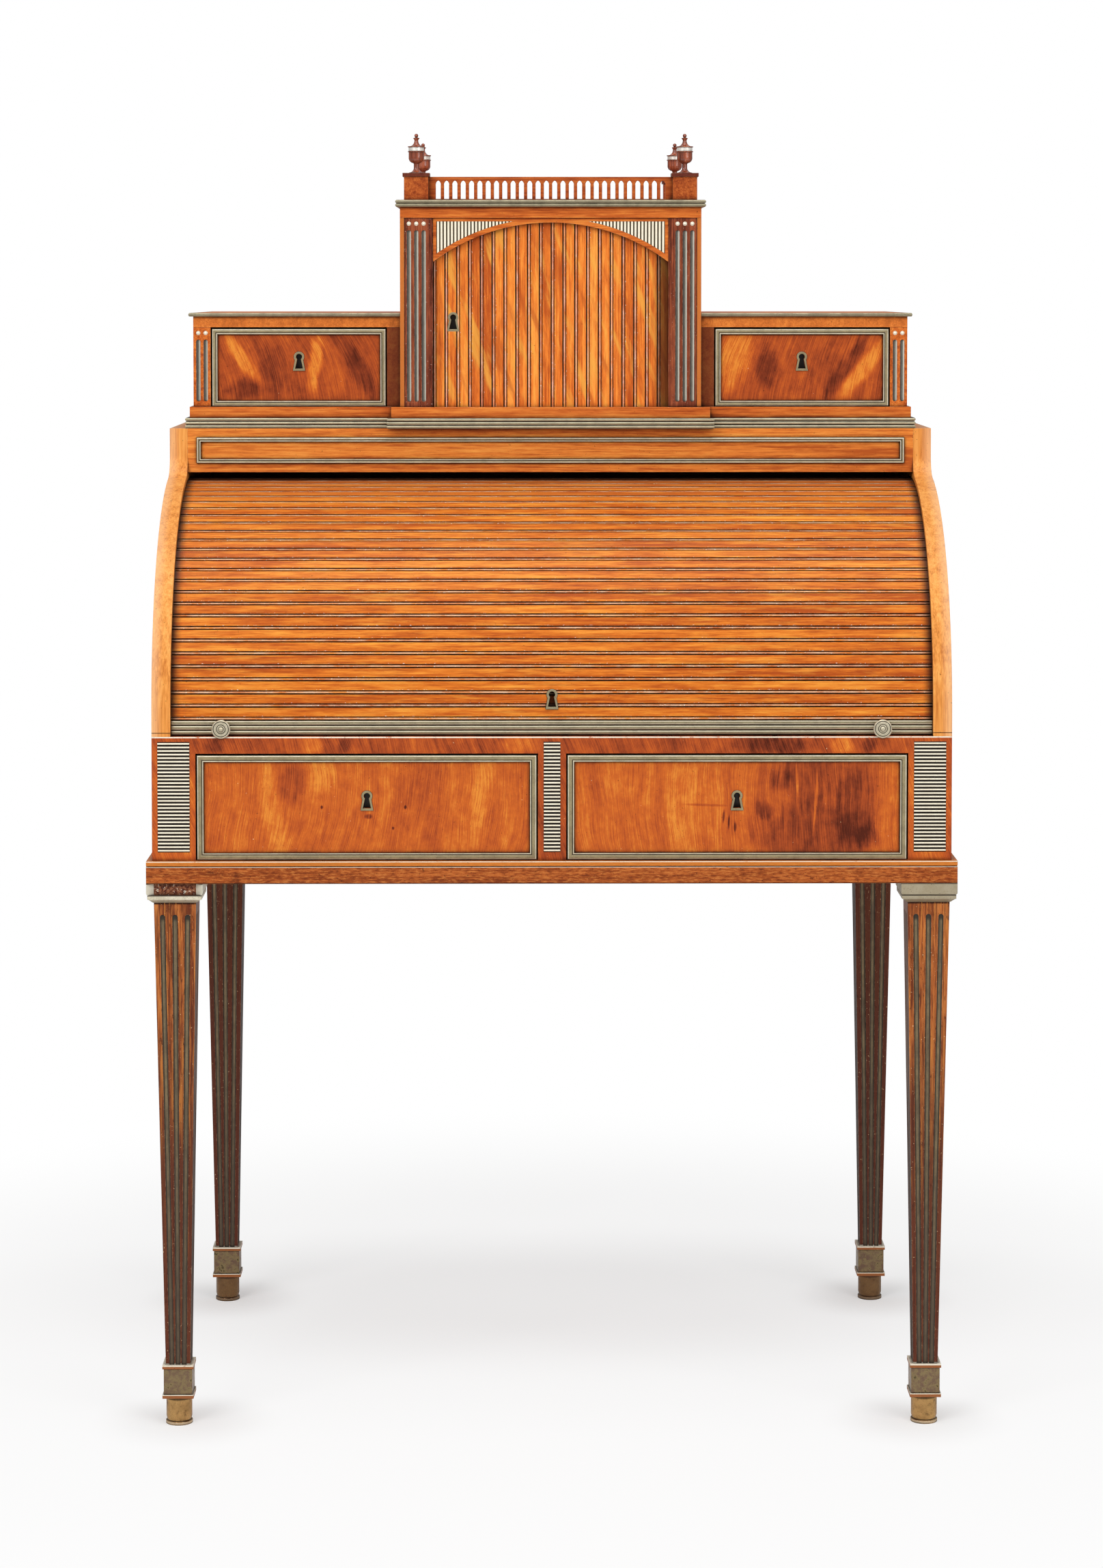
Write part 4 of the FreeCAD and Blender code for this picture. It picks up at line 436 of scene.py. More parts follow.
def highlight_edge(tree, colour, level, half, share):
    """Painted highlight line, rubbed unevenly, at a level, on upright faces only."""
    upright = tree.span(tree.size(tree.normal[2]), 0.7, 0.3)
    return tree.mix(upright, colour, highlight_line(tree, colour, level, half, share))


# Solid woods

def finish_wood(tree, colour, edges, streaks, fibres, polish, grime_and_shade, rub_and_highlight, shine=0.12):
    """Rubbed edges with painted highlights, soiling with painted shade, gloss and pores shared by all the
    woods.
    """
    colour = wear_and_highlight(tree, colour, edges, rub_and_highlight)
    colour = specks(tree, colour, DIRT_AND_SHADE, scale=420.0, sparse=0.70, amount=0.6)
    colour = grime_and_painted_shade(tree, colour, reach=0.006, amount=grime_and_shade)
    rough = tree.math("MULTIPLY_ADD", streaks, 0.2, polish - 0.1)
    tree.set(Base_Color=colour, Roughness=rough, Specular_IOR_Level=shine)
    tree.bump(fibres, distance=0.00012, strength=0.5)
    return tree.material


def wood(name, tones, touch=None, polish=0.34, spread=0.3, figure=1.0, grime_and_shade=0.95, rub_and_highlight=0.5, shine=0.12,
         flaky=1.4, axis=None):
    """Polished solid mahogany with streaks, pores and its own shade for every board."""
    tree = Tree(name)
    grain = Grain(tree, axis)
    bands = tree.noise(grain.stretched(24, 1.4), detail=4.0, distortion=0.5)
    streaks = tree.noise(grain.stretched(150, 4), detail=4.0, roughness=0.6)
    flakes = tree.noise(grain.stretched(330, 45), detail=4.0, roughness=0.65)
    fibres = tree.noise(grain.stretched(700, 16), detail=2.0)
    tone = tree.math("ADD", tree.swing(bands, 1.3 * figure), tree.swing(streaks, 1.7))
    tone = tree.math("ADD", tone, tree.math("ADD", tree.swing(fibres, 1.2), tree.swing(flakes, flaky)))
    tone = tree.math("ADD", tone, tree.swing(grain.chance, spread))
    colour = tree.ramp(tree.math("ADD", tone, 0.5), tones)
    flecks = tree.span(tree.noise(grain.stretched(1300, 40), detail=1.0), 0.60, 0.72)
    colour = tree.tint(colour, tones[0], flecks, 0.35)
    edges = tree.round_edges(EDGE_RADIUS["wood"])
    if touch:
        colour = touch(tree, colour)
    return finish_wood(tree, colour, edges, streaks, fibres, polish, grime_and_shade, rub_and_highlight, shine)


def slat_lines(tree, colour, run, across, bead, quirk, tone, pale, shadow):
    """Uneven bead with a painted highlight, and dark quirk and joint with painted shade, of a tambour slat;
    run goes from 0 to 1 over a slat.
    """
    uneven = tree.span(tree.noise(tree.scaled(across, 40.0), detail=5.0, roughness=0.7), 0.34, 0.68)
    lit = tree.band(run, bead[0] + BEAD_RIMS[0], bead[1] - BEAD_RIMS[1], LINE_SOFT)
    # Painted highlight along the bead
    colour = tree.tint(colour, tone, tree.both(lit, tree.math("MULTIPLY_ADD", uneven, pale, 0.05)))
    flecks = tree.span(tree.noise(tree.scaled(across, 420.0), detail=2.0), 0.62, 0.72)
    beside = tree.band(run, quirk[1], quirk[1] + 0.07, 0.02)
    rims = tree.math("ADD", tree.band(run, *bead, 0.01), beside)
    colour = tree.tint(colour, CREAM, tree.both(flecks, rims), 0.7)
    broken = tree.span(tree.noise(tree.scaled(across, 90.0), detail=4.0), 0.3, 0.6)
    # Painted shade in the quirk and the joints
    joints = (tree.span(run, *LAST_JOINT), tree.span(run, *FIRST_JOINT))
    dark = tree.either(tree.band(run, *quirk, LINE_SOFT), *joints)
    return tree.tint(colour, shadow, tree.both(dark, tree.math("MULTIPLY_ADD", broken, 0.4, 0.6)))


def cylinder_slats(tree, colour):
    """Light and dark spots, lines along the cylinder's slats, painted shade on its upper slats and at its
    ends beside the cheeks, and painted shadow at its top.
    """
    front = tree.math("MULTIPLY_ADD", tree.y, -1.0, CYLINDER_Y)
    angle = tree.math("ARCTAN2", tree.math("SUBTRACT", tree.z, CYLINDER_Z), front)
    place = tree.math("MULTIPLY_ADD", angle, 1 / SLAT_ANGLE, -SLATS_FROM / SLAT_ANGLE)
    run = tree.math("FRACT", place)
    along = tree.join(tree.part(tree.x, 14.0), tree.part(place, 1.7), 4.0)
    spots = tree.noise(along, detail=5.0, roughness=0.65)
    colour = tree.tint(colour, SLAT_MARKS["light"], tree.span(spots, 0.50, 0.72), 0.55)
    colour = tree.tint(colour, SLAT_MARKS["dark"], tree.span(spots, 0.50, 0.30), 0.6)
    # Painted shade on the upper slats
    colour = tree.tint(colour, SLAT_MARKS["high"], tree.span(angle, *SLATS_SHADED_HIGH), 0.55)
    across = tree.join(tree.x, tree.part(place, 0.02), 0.0)
    colour = slat_lines(tree, colour, run, across, **SLAT_LINES)
    # Painted shade at the ends beside the cheeks
    ends = tree.past(tree.size(tree.x), CHEEK_INSIDE, *CYLINDER_END_SHADE)
    colour = tree.tint(colour, DIRT_AND_SHADE, ends, 0.8)
    # Painted shadow at the top under the frieze
    return tree.tint(colour, DIRT_AND_SHADE, tree.span(angle, *CYLINDER_TOP_SHADOW), 0.92)


def shutter_lines(tree, colour):
    """Leaning flames, lines along the shutter's slats, and painted shade on its last slat."""
    place = tree.math("MULTIPLY_ADD", tree.x, 1 / SHUTTER_PITCH, -SHUTTER_LEFT / SHUTTER_PITCH)
    run = tree.math("FRACT", place)
    slant = tree.math("MULTIPLY_ADD", tree.z, 0.35, tree.x)
    leaning = tree.join(tree.part(slant, 60.0), tree.part(tree.z, 9.0), tree.math("FLOOR", place))
    flame = tree.noise(leaning, detail=4.0)
    colour = tree.tint(colour, SHUTTER_MARKS["light"], tree.span(flame, 0.52, 0.66), 0.7)
    colour = tree.tint(colour, SHUTTER_MARKS["dark"], tree.span(flame, 0.46, 0.32), 0.6)
    across = tree.join(tree.part(place, 0.02), tree.z, 0.0)
    colour = slat_lines(tree, colour, run, across, **SHUTTER_LINES)
    # Painted shade on the last slat beside the pilaster
    return tree.tint(colour, DIRT_AND_SHADE, tree.past(tree.x, SHUTTER_RIGHT, *SHUTTER_END_SHADE), 0.75)


def apron_marks(tree, colour):
    """Fine streaks, bruises and specks, painted shade along the lower edge, and the bright strip between
    painted highlight lines.
    """
    streaks = tree.noise(tree.stretch(150, 150, 620), detail=5.0, roughness=0.7)
    colour = tree.tint(colour, APRON_MARKS["light"], tree.span(streaks, 0.50, 0.64), 0.7)
    colour = tree.tint(colour, APRON_MARKS["dark"], tree.span(streaks, 0.49, 0.36), 0.8)
    bruises = tree.noise(tree.stretch(22, 22, 46), detail=5.0, roughness=0.7)
    colour = tree.tint(colour, APRON_MARKS["bruise"], tree.span(bruises, 0.58, 0.68), 0.7)
    colour = specks(tree, colour, APRON_MARKS["speck"], scale=340.0, sparse=0.66, amount=0.75)
    # Painted shade along the lower edge
    colour = tree.tint(colour, DIRT_AND_SHADE, tree.past(tree.z, APRON_FOOT, *APRON_SHADE), 0.7)
    colour = tree.tint(colour, APRON_MARKS["strip"], tree.past(tree.z, APRON_TOP, *APRON_STRIP), 0.7)
    # Painted highlight lines
    for line in APRON_LINES:
        colour = highlight_edge(tree, colour, *line)
    return colour


def cheek_marks(tree, colour):
    """Dark specks, painted glare on the outer edge in front, and the seam over the writing level."""
    colour = specks(tree, colour, CHEEK_MARKS["speck"], scale=240.0, sparse=0.70, amount=0.7)
    ahead = tree.span(tree.size(tree.normal[0]), 0.7, 0.4)
    outer = tree.past(tree.size(tree.x), CHEEK_OUTSIDE, *CHEEK_EDGE)
    # Painted glare on the outer front edge
    colour = tree.tint(colour, CHEEK_MARKS["glare"], tree.both(outer, ahead), 0.3)
    return tree.tint(colour, DIRT_AND_SHADE, tree.line(tree.z, WRITING_LEVEL, *CHEEK_SEAM), 0.8)


def leg_marks(tree, colour):
    """Painted shade on the rear legs and on faces turned inward, dark lower ends, painted shadow under the
    capitals, streaks and flecks, orange rims and painted highlights on the ankles, and the bare front-left
    head.
    """
    # Painted shade on the rear legs
    colour = tree.tint(colour, LEG_MARKS["rear"], tree.span(tree.y, *FRONT_TO_REAR), 0.92)
    colour = tree.tint(colour, LEG_MARKS["low"], tree.span(tree.z, *LEG_DARKENS), 0.92)
    # Painted shadow under the capitals
    colour = tree.tint(colour, DIRT_AND_SHADE, tree.line(tree.z, CAPITAL_FOOT, *UNDER_CAPITAL), 0.9)
    lines = tree.noise(tree.stretch(430, 430, 7), roughness=0.6)
    colour = tree.tint(colour, LEG_MARKS["line"], tree.span(lines, 0.54, 0.64), 0.75)
    front_tops = tree.both(tree.span(tree.y, *REAR_TO_FRONT), tree.span(tree.z, *LEG_BRIGHTENS))
    light = tree.both(tree.span(lines, 0.46, 0.34), front_tops)
    colour = tree.tint(colour, LEG_MARKS["light"], light, 0.75)
    inward = tree.math("MULTIPLY", tree.normal[0], tree.math("SIGN", tree.x))
    # Painted shade on faces turned inward
    colour = tree.tint(colour, LEG_MARKS["inner"], tree.span(inward, -0.5, -0.9), 0.6)
    flecks = tree.noise(tree.stretch(1, 1, 0.3), scale=330.0, detail=4.0, roughness=0.7)
    colour = tree.tint(colour, LEG_MARKS["fleck"], tree.span(flecks, 0.58, 0.68), 0.75)
    colour = specks(tree, colour, RUBBED_AND_HIGHLIGHT, scale=520.0, sparse=0.68, amount=0.6)
    rims = tree.math("ADD", tree.line(tree.z, LEG_FOOT, *ANKLE_RIM),
                     tree.line(tree.z, ANKLE_PLATE_TOP, *ANKLE_RIM))
    colour = tree.tint(colour, LEG_MARKS["ankle"], rims, 0.7)
    # Painted highlight lines on the ankles
    for line in ANKLE_LINES:
        colour = highlight_line(tree, colour, *line)
    rough = tree.span(tree.noise(tree.coords, scale=330.0, detail=4.0, roughness=0.7), 0.40, 0.62)
    bare = tree.mix(rough, LEG_MARKS["torn"], LEG_MARKS["raw"])
    bare = tree.tint(bare, CREAM, tree.span(tree.noise(tree.coords, scale=420.0, roughness=0.6), 0.60, 0.68))
    return tree.tint(colour, bare, tree.past(tree.z, CAPITAL_PLATE, *BARE_HEAD))


def wing_walls(tree, colour):
    """Dark walls between the wing drawers and the cabinet."""
    wall = tree.line(tree.size(tree.x), PILASTERS_OUTSIDE, *WING_WALL)
    below = tree.past(tree.z, WING_TOPS_FOOT, *WALL_TOP)
    return tree.tint(colour, UPPER_MARKS["wall"], tree.both(wall, below), 0.8)


def upper_boards(tree, colour):
    """Lighter wing tops beside the cabinet's top."""
    return tree.tint(colour, UPPER_MARKS["wing"], tree.span(tree.z, *WINGS_BELOW), 0.35)


def pilaster_field(tree, colour):
    """Raised orange edge beside the sunk dark field."""
    raised = tree.past(tree.y, PILASTERS_FRONT, *PILASTER_EDGE)
    colour = specks(tree, colour, PILASTER_MARKS["speck"], scale=520.0, sparse=0.68, amount=0.6)
    return tree.tint(colour, PILASTER_MARKS["edge"], raised, 0.85)


def gallery_parts(tree, colour):
    """Dark caps on the gallery's posts."""
    return tree.tint(colour, UPPER_MARKS["cap"], tree.past(tree.z, GALLERY_CAPS, *CAP_EDGE), 0.85)


def veneer(name, centre, base, lean, bow, seed, patches, line=None):
    """Figured veneer: fine leaning lines, broad bands, and lighter or darker flames at given places."""
    tree = Tree(name)
    x, _, z = tree.split(tree.vector("SUBTRACT", tree.coords, centre))
    flat = tree.join(x, seed, z)
    sway = tree.swing(tree.noise(flat, scale=6.0, detail=2.0), 0.035)
    across = tree.math("ADD", tree.math("ADD", x, sway), tree.math("MULTIPLY", z, lean))
    across = tree.math("ADD", across, tree.math("MULTIPLY", tree.math("MULTIPLY", z, z), bow))

    def figure(side, sides, heights, shift=0):
        return tree.join(tree.part(side, sides), seed + shift, tree.part(z, heights))

    bands = tree.noise(figure(across, 70.0, 9.0), detail=5.0, roughness=0.65)
    lines = tree.noise(figure(across, 950.0, 22.0), roughness=0.6)
    pores = tree.noise(figure(across, 2200.0, 110.0), detail=1.0)
    mottle = tree.noise(figure(x, 90.0, 70.0), detail=6.0, roughness=0.7)
    ragged = tree.noise(figure(across, 150.0, 26.0, shift=4), detail=5.0, roughness=0.65)
    tone = tree.math("ADD", tree.swing(bands, 0.85), tree.swing(lines, 0.95))
    tone = tree.math("ADD", tone, tree.math("MULTIPLY_ADD", mottle, 0.7, base - 0.35))
    for patch in patches:
        (px, pz), (wide, tall), turn = patch["place"], patch["size"], math.radians(patch["turn"])
        dx, dz = tree.math("SUBTRACT", x, px), tree.math("SUBTRACT", z, pz)
        dx = tree.math("ADD", dx, tree.part(sway, 0.5))
        u = tree.math("MULTIPLY_ADD", dx, math.cos(turn) / wide, tree.part(dz, -math.sin(turn) / wide))
        v = tree.math("MULTIPLY_ADD", dx, math.sin(turn) / tall, tree.part(dz, math.cos(turn) / tall))
        away = tree.vector("LENGTH", tree.join(u, v, 0.0))
        away = tree.math("ADD", away, tree.swing(ragged, patch["rag"]))
        tone = tree.math("ADD", tone, tree.part(tree.span(away, 1.2, 0.45), patch["tone"]))
    colour = tree.ramp(tone, FLAME_TONES)
    colour = tree.tint(colour, FLAME_TONES[1], tree.span(pores, 0.60, 0.74), 0.4)
    # A painted highlight line along the edge, where one is given
    if line:
        colour = highlight_edge(tree, colour, *line)
    edges = tree.round_edges(EDGE_RADIUS["veneer"])
    colour = specks(tree, colour, RUBBED_AND_HIGHLIGHT, scale=300.0, sparse=0.735, amount=0.7)
    return finish_wood(tree, colour, edges, bands, lines, polish=0.3, grime_and_shade=0.95, rub_and_highlight=0.3)


# Brass and canvas

def brass(name, bright, dull, rough=0.34, metal=0.6, patina=0.6, touch=None):
    """Old brass: dull patches, fine scratches, rubbed edges with painted highlights, and soiling with painted
    shade in the grooves.
    """
    tree = Tree(name)
    patches = tree.span(tree.noise(tree.coords, scale=75.0, detail=5.0, roughness=0.65), 0.38, 0.66)
    fine = tree.noise(tree.coords, scale=900.0, detail=2.0)
    colour = tree.tint(bright, dull, patches, patina)
    colour = tree.tint(colour, dull, tree.span(fine, 0.56, 0.74), 0.8)
    edges = tree.round_edges(EDGE_RADIUS["brass"])
    colour = wear_and_highlight(tree, colour, edges, 0.5, CREAM)
    if touch:
        colour = touch(tree, colour)
    colour = grime_and_painted_shade(tree, colour, reach=0.003, amount=0.9, tone=BRASS_DIRT_AND_SHADE)
    tree.set(Base_Color=colour, Metallic=metal, Roughness=tree.math("MULTIPLY_ADD", patches, 0.16, rough))
    tree.bump(tree.noise(tree.coords, scale=300.0), distance=0.0001, strength=0.4)
    return tree.material


def rib_grooves(tree, colour):
    """Black lines of painted shade on the steep flanks where two ribs meet, softer between the ribs of the
    arch.
    """
    arch = tree.span(tree.z, *ARCH_ABOVE)
    shade = tree.mix(arch, RIB_MARKS["dark"], RIB_MARKS["arch"])
    steep = tree.math("MAXIMUM", tree.size(tree.normal[0]), tree.size(tree.normal[2]))
    steep = tree.math("SUBTRACT", steep, tree.part(arch, 0.12))
    # Painted shade by the steepness of the surface
    return tree.tint(colour, shade, tree.span(steep, 0.26, 0.52))


def reed_lines(tree, colour):
    """Painted highlights along the shoulders of level reeds, and painted shade where two reeds meet."""
    steep = tree.size(tree.normal[2])
    # Painted highlight on the shoulders
    colour = tree.tint(colour, REED_MARKS["pale"], tree.band(steep, 0.36, 0.54, 0.05), 0.75)
    # Painted shade where two reeds meet
    return tree.tint(colour, REED_MARKS["dark"], tree.span(steep, 0.58, 0.76))


def shaded_lock_behind(tree, colour, face, depth):
    """Blackened iron for the lock that lies deeper than a depth behind the face, near black so that it is
    also painted shade in the keyhole.
    """
    return tree.tint(colour, IRON, tree.past(tree.y, face + depth, 0, LOCK_EDGE))


def shutter_fittings(tree, colour):
    """The shutter's brass in front, with its lock behind."""
    face = lowest("shutter_slats").y
    return shaded_lock_behind(tree, reed_lines(tree, colour), face, SHUTTER_LOCK_DEPTH)


def frame_lines(node, width, front=None):
    """Painted highlights on the outer line and the bead of a brass frame, painted shade at its rim, in its
    groove and along its inside, and the lock behind its front.
    """
    low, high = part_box(node)
    middle, half = (low + high) / 2, (high - low) / 2
    groove = width - FRAME_BEAD

    def touch(tree, colour):
        aside = tree.size(tree.math("SUBTRACT", tree.x, middle.x))
        above = tree.size(tree.math("SUBTRACT", tree.z, middle.z))
        inward = tree.math("MINIMUM", tree.math("SUBTRACT", half.x, aside),
                           tree.math("SUBTRACT", half.z, above))
        # Painted highlights, broken up unevenly
        pale = tree.math("ADD", tree.band(inward, *FRAME_PALE), tree.line(inward, groove, *BEAD_PALE))
        patchiness = tree.span(tree.noise(tree.coords, scale=90.0, detail=4.0, roughness=0.7), 0.3, 0.6)
        colour = tree.tint(colour, CREAM, tree.both(pale, tree.math("MULTIPLY_ADD", patchiness, 0.4, 0.5)))
        # Painted shade at the rim, in the groove and along the inside
        dark = tree.math("ADD", tree.span(inward, *FRAME_RIM), tree.line(inward, groove, *GROOVE_DARK))
        dark = tree.either(dark, tree.line(inward, width, *FRAME_INSIDE))
        colour = tree.tint(colour, BRASS_DIRT_AND_SHADE, dark, 0.92)
        return shaded_lock_behind(tree, colour, lowest(front).y, LOCK_DEPTH) if front else colour
    return touch


def knob_rings(tree, colour):
    """Dark rings turned into the knobs."""
    aside = tree.math("SUBTRACT", tree.size(tree.x), KNOB_X)
    away = tree.vector("LENGTH", tree.join(aside, 0.0, tree.math("SUBTRACT", tree.z, KNOB_Z)))
    rings = tree.either(*[tree.band(away, *ring, KNOB_RING_SOFT) for ring in KNOB_RINGS])
    return tree.tint(colour, KNOB_DARK, rings, 0.85)


def capital_marks(tree, colour):
    """Dark lines of the capitals with painted shadow under the apron along their tops, painted shade on their
    sloped undersides, and cream plate ends beside the bare head of the front-left leg.
    """
    broken = tree.both(tree.span(tree.x, *LEFT_CAPITAL),
                       tree.past(tree.y, LEG_FRONT, *BROKEN_FRONT),
                       tree.past(tree.z, CAPITAL_PLATE, *BROKEN_FOOT))
    colour = tree.tint(colour, CREAM, broken)
    # Painted shade on the sloped underside
    colour = tree.tint(colour, CAPITAL_MARKS["slope"], tree.past(tree.z, CAPITAL_FOOT, *CAPITAL_SLOPE), 0.6)
    # A dark line between plate and fillet, and painted shadow under the apron along the top
    lines = tree.either(tree.line(tree.z, CAPITAL_PLATE, *PLATE_LINE),
                        tree.past(tree.z, CAPITAL_TOP, *CAPITAL_EDGE))
    colour = tree.tint(colour, CAPITAL_MARKS["right"], tree.span(tree.x, *LEFT_TO_RIGHT), 0.7)
    colour = specks(tree, colour, BRASS_DIRT_AND_SHADE, scale=420.0, sparse=0.66, amount=0.6)
    return tree.tint(colour, BRASS_DIRT_AND_SHADE, lines, 0.85)


def pilaster_shade(tree, colour):
    """Painted shade on the left and painted highlights on the right sides of the hollow flutes, and cream
    studs.
    """
    ahead = tree.span(tree.normal[1], -0.4, -0.7)
    # Painted shade on the left sides
    dark = tree.both(tree.span(tree.normal[0], 0.10, 0.40), ahead)
    colour = tree.tint(colour, PILASTER_MARKS["dark"], dark, 0.8)
    # Painted highlights on the right sides
    pale = tree.both(tree.span(tree.normal[0], -0.28, -0.42), ahead)
    colour = tree.tint(colour, PILASTER_MARKS["pale"], pale, 0.85)
    wide = tree.size(tree.x)
    cabinet = tree.both(tree.span(tree.z, *CABINET_STUDS), tree.span(wide, *WINGS_TO_CABINET))
    wings = tree.both(tree.span(tree.z, *WING_STUDS), tree.span(wide, *CABINET_TO_WINGS))
    return tree.tint(colour, CREAM, tree.math("ADD", cabinet, wings))


def foot_shade(tree, colour):
    """Mottled plates with dark edges over the cup, and painted shade on the rear feet."""
    mottle = tree.noise(tree.coords, scale=150.0, detail=5.0, roughness=0.65)
    plate = tree.mix(tree.span(mottle, 0.36, 0.64), FOOT_MARKS["brown"], FOOT_MARKS["olive"])
    plate = tree.tint(plate, BRASS_DIRT_AND_SHADE, tree.span(mottle, 0.60, 0.66), 0.7)
    rims = tree.math("ADD", tree.past(tree.z, ANKLE_PLATE_FOOT, *PLATE_LOW),
                     tree.past(tree.z, ANKLE_PLATE_TOP, *PLATE_HIGH))
    plate = tree.tint(plate, BRASS_DIRT_AND_SHADE, rims, 0.85)
    colour = tree.tint(colour, FOOT_MARKS["stain"], tree.span(mottle, 0.56, 0.70), 0.5)
    neck = tree.math("ADD", tree.past(tree.z, LEG_FOOT, *CUP_NECK), tree.band(tree.z, *CUP_GROOVE))
    colour = tree.tint(colour, BRASS_DIRT_AND_SHADE, neck, 0.8)
    colour = tree.tint(colour, FOOT_MARKS["ring"], tree.band(tree.z, *CUP_RING), 0.5)
    # Painted shade on the rear feet
    colour = tree.tint(colour, FOOT_MARKS["rear"], tree.span(tree.y, *FRONT_TO_REAR), 0.7)
    return tree.tint(colour, plate, tree.past(tree.z, LEG_FOOT, *CUP_END))


def leg_shade(tree, colour):
    """Painted shade on the flutes' edges, black flute ends, and darker metal towards the bottom of the legs.
    """
    aside = tree.math("MINIMUM", tree.size(tree.normal[0]), tree.size(tree.normal[1]))
    # Painted shade on the flutes' sides
    colour = tree.tint(colour, BRASS_DIRT_AND_SHADE, tree.span(aside, 0.34, 0.56), 0.9)
    mottle = tree.noise(tree.stretch(380, 380, 18), detail=4.0, roughness=0.7)
    colour = tree.tint(colour, FLUTE_MARKS["mottle"], tree.span(mottle, 0.45, 0.62), 0.6)
    colour = tree.tint(colour, FLUTE_MARKS["low"], tree.span(tree.z, *FLUTES_DARKEN), 0.65)
    return tree.tint(colour, BRASS_DIRT_AND_SHADE, tree.past(tree.z, FLUTES_TOP, *FLUTE_ENDS), 0.95)


def canvas(name):
    """Coarse linen backing."""
    tree = Tree(name)
    tree.round_edges(EDGE_RADIUS["canvas"])
    warp = tree.math("SINE", tree.part(tree.x, THREADS))
    weft = tree.math("SINE", tree.part(tree.math("ADD", tree.y, tree.z), THREADS))
    weave = tree.math("MULTIPLY", warp, weft)
    tone = tree.math("MULTIPLY_ADD", weave, 0.2, tree.noise(tree.coords, scale=30.0, detail=4.0))
    tree.set(Base_Color=tree.ramp(tone, CANVAS_TONES), Roughness=0.9)
    tree.bump(weave, distance=0.0003, strength=0.7)
    return tree.material


# Boards

def board_group():
    """Nodes that number every solid of a piece, find the way its grain runs, and crease its edges."""
    group = bpy.data.node_groups.new("boards", "GeometryNodeTree")
    for way in ("INPUT", "OUTPUT"):
        group.interface.new_socket("Geometry", in_out=way, socket_type="NodeSocketGeometry")

    def add(kind, inputs=None, **settings):
        return add_node(group, kind, inputs, **settings)

    def math_of(operation, a, b):
        return add("ShaderNodeMath", {0: a, 1: b}, operation=operation).outputs[0]

    def store(name, value, data_type):
        return add("GeometryNodeStoreNamedAttribute", {"Name": name, "Value": value},
                   data_type=data_type, domain="POINT")

    solid = add("GeometryNodeInputMeshIsland").outputs["Island Index"]
    place = add("GeometryNodeInputPosition").outputs[0]
    reach = add("GeometryNodeFieldMinAndMax", {"Value": place, "Group Index": solid},
                data_type="FLOAT_VECTOR", domain="POINT").outputs
    size = add("ShaderNodeVectorMath", {0: reach["Max"], 1: reach["Min"]}, operation="SUBTRACT").outputs[0]
    sides = add("ShaderNodeSeparateXYZ", {0: size}).outputs
    longest = {}
    for i in range(3):
        tests = [math_of("GREATER_THAN", sides[i], sides[j]) for j in range(3) if j != i]
        longest[i] = math_of("MULTIPLY", *tests)
    grain = add("ShaderNodeCombineXYZ", longest).outputs[0]
    angle = add("GeometryNodeInputMeshEdgeAngle").outputs["Unsigned Angle"]
    faces = add("GeometryNodeInputMeshEdgeNeighbors").outputs["Face Count"]
    sharp = math_of("MAXIMUM", math_of("GREATER_THAN", angle, CREASE_ANGLE),
                    math_of("GREATER_THAN", faces, MORE_THAN_TWO))
    chain = [
        add("NodeGroupInput"),
        add("GeometryNodeMergeByDistance", {"Distance": MERGE_DISTANCE}),
        add("GeometryNodeRemoveAttribute", {"Name": "custom_normal"}),
        store("board", solid, "FLOAT"),
        store("grain", grain, "FLOAT_VECTOR"),
        add("GeometryNodeSetShadeSmooth", domain="FACE"),
        add("GeometryNodeSetShadeSmooth", {"Selection": sharp, "Shade Smooth": False}, domain="EDGE"),
        add("NodeGroupOutput"),
    ]
    for a, b in zip(chain, chain[1:]):
        group.links.new(a.outputs[0], b.inputs[0])
    return group


BOARDS = board_group()


def dress(node, material):
    """Give a node its finish."""
    piece = NODES[node]
    for i in range(len(piece.data.materials)):
        piece.data.materials[i] = material
    piece.modifiers.new("boards", "NODES").node_group = BOARDS


# Drawers, with the width of their brass frames
DRAWERS = {"base_drawer_left": BASE_FRAME, "base_drawer_right": BASE_FRAME,
           "wing_drawer_left": WING_FRAME, "wing_drawer_right": WING_FRAME}

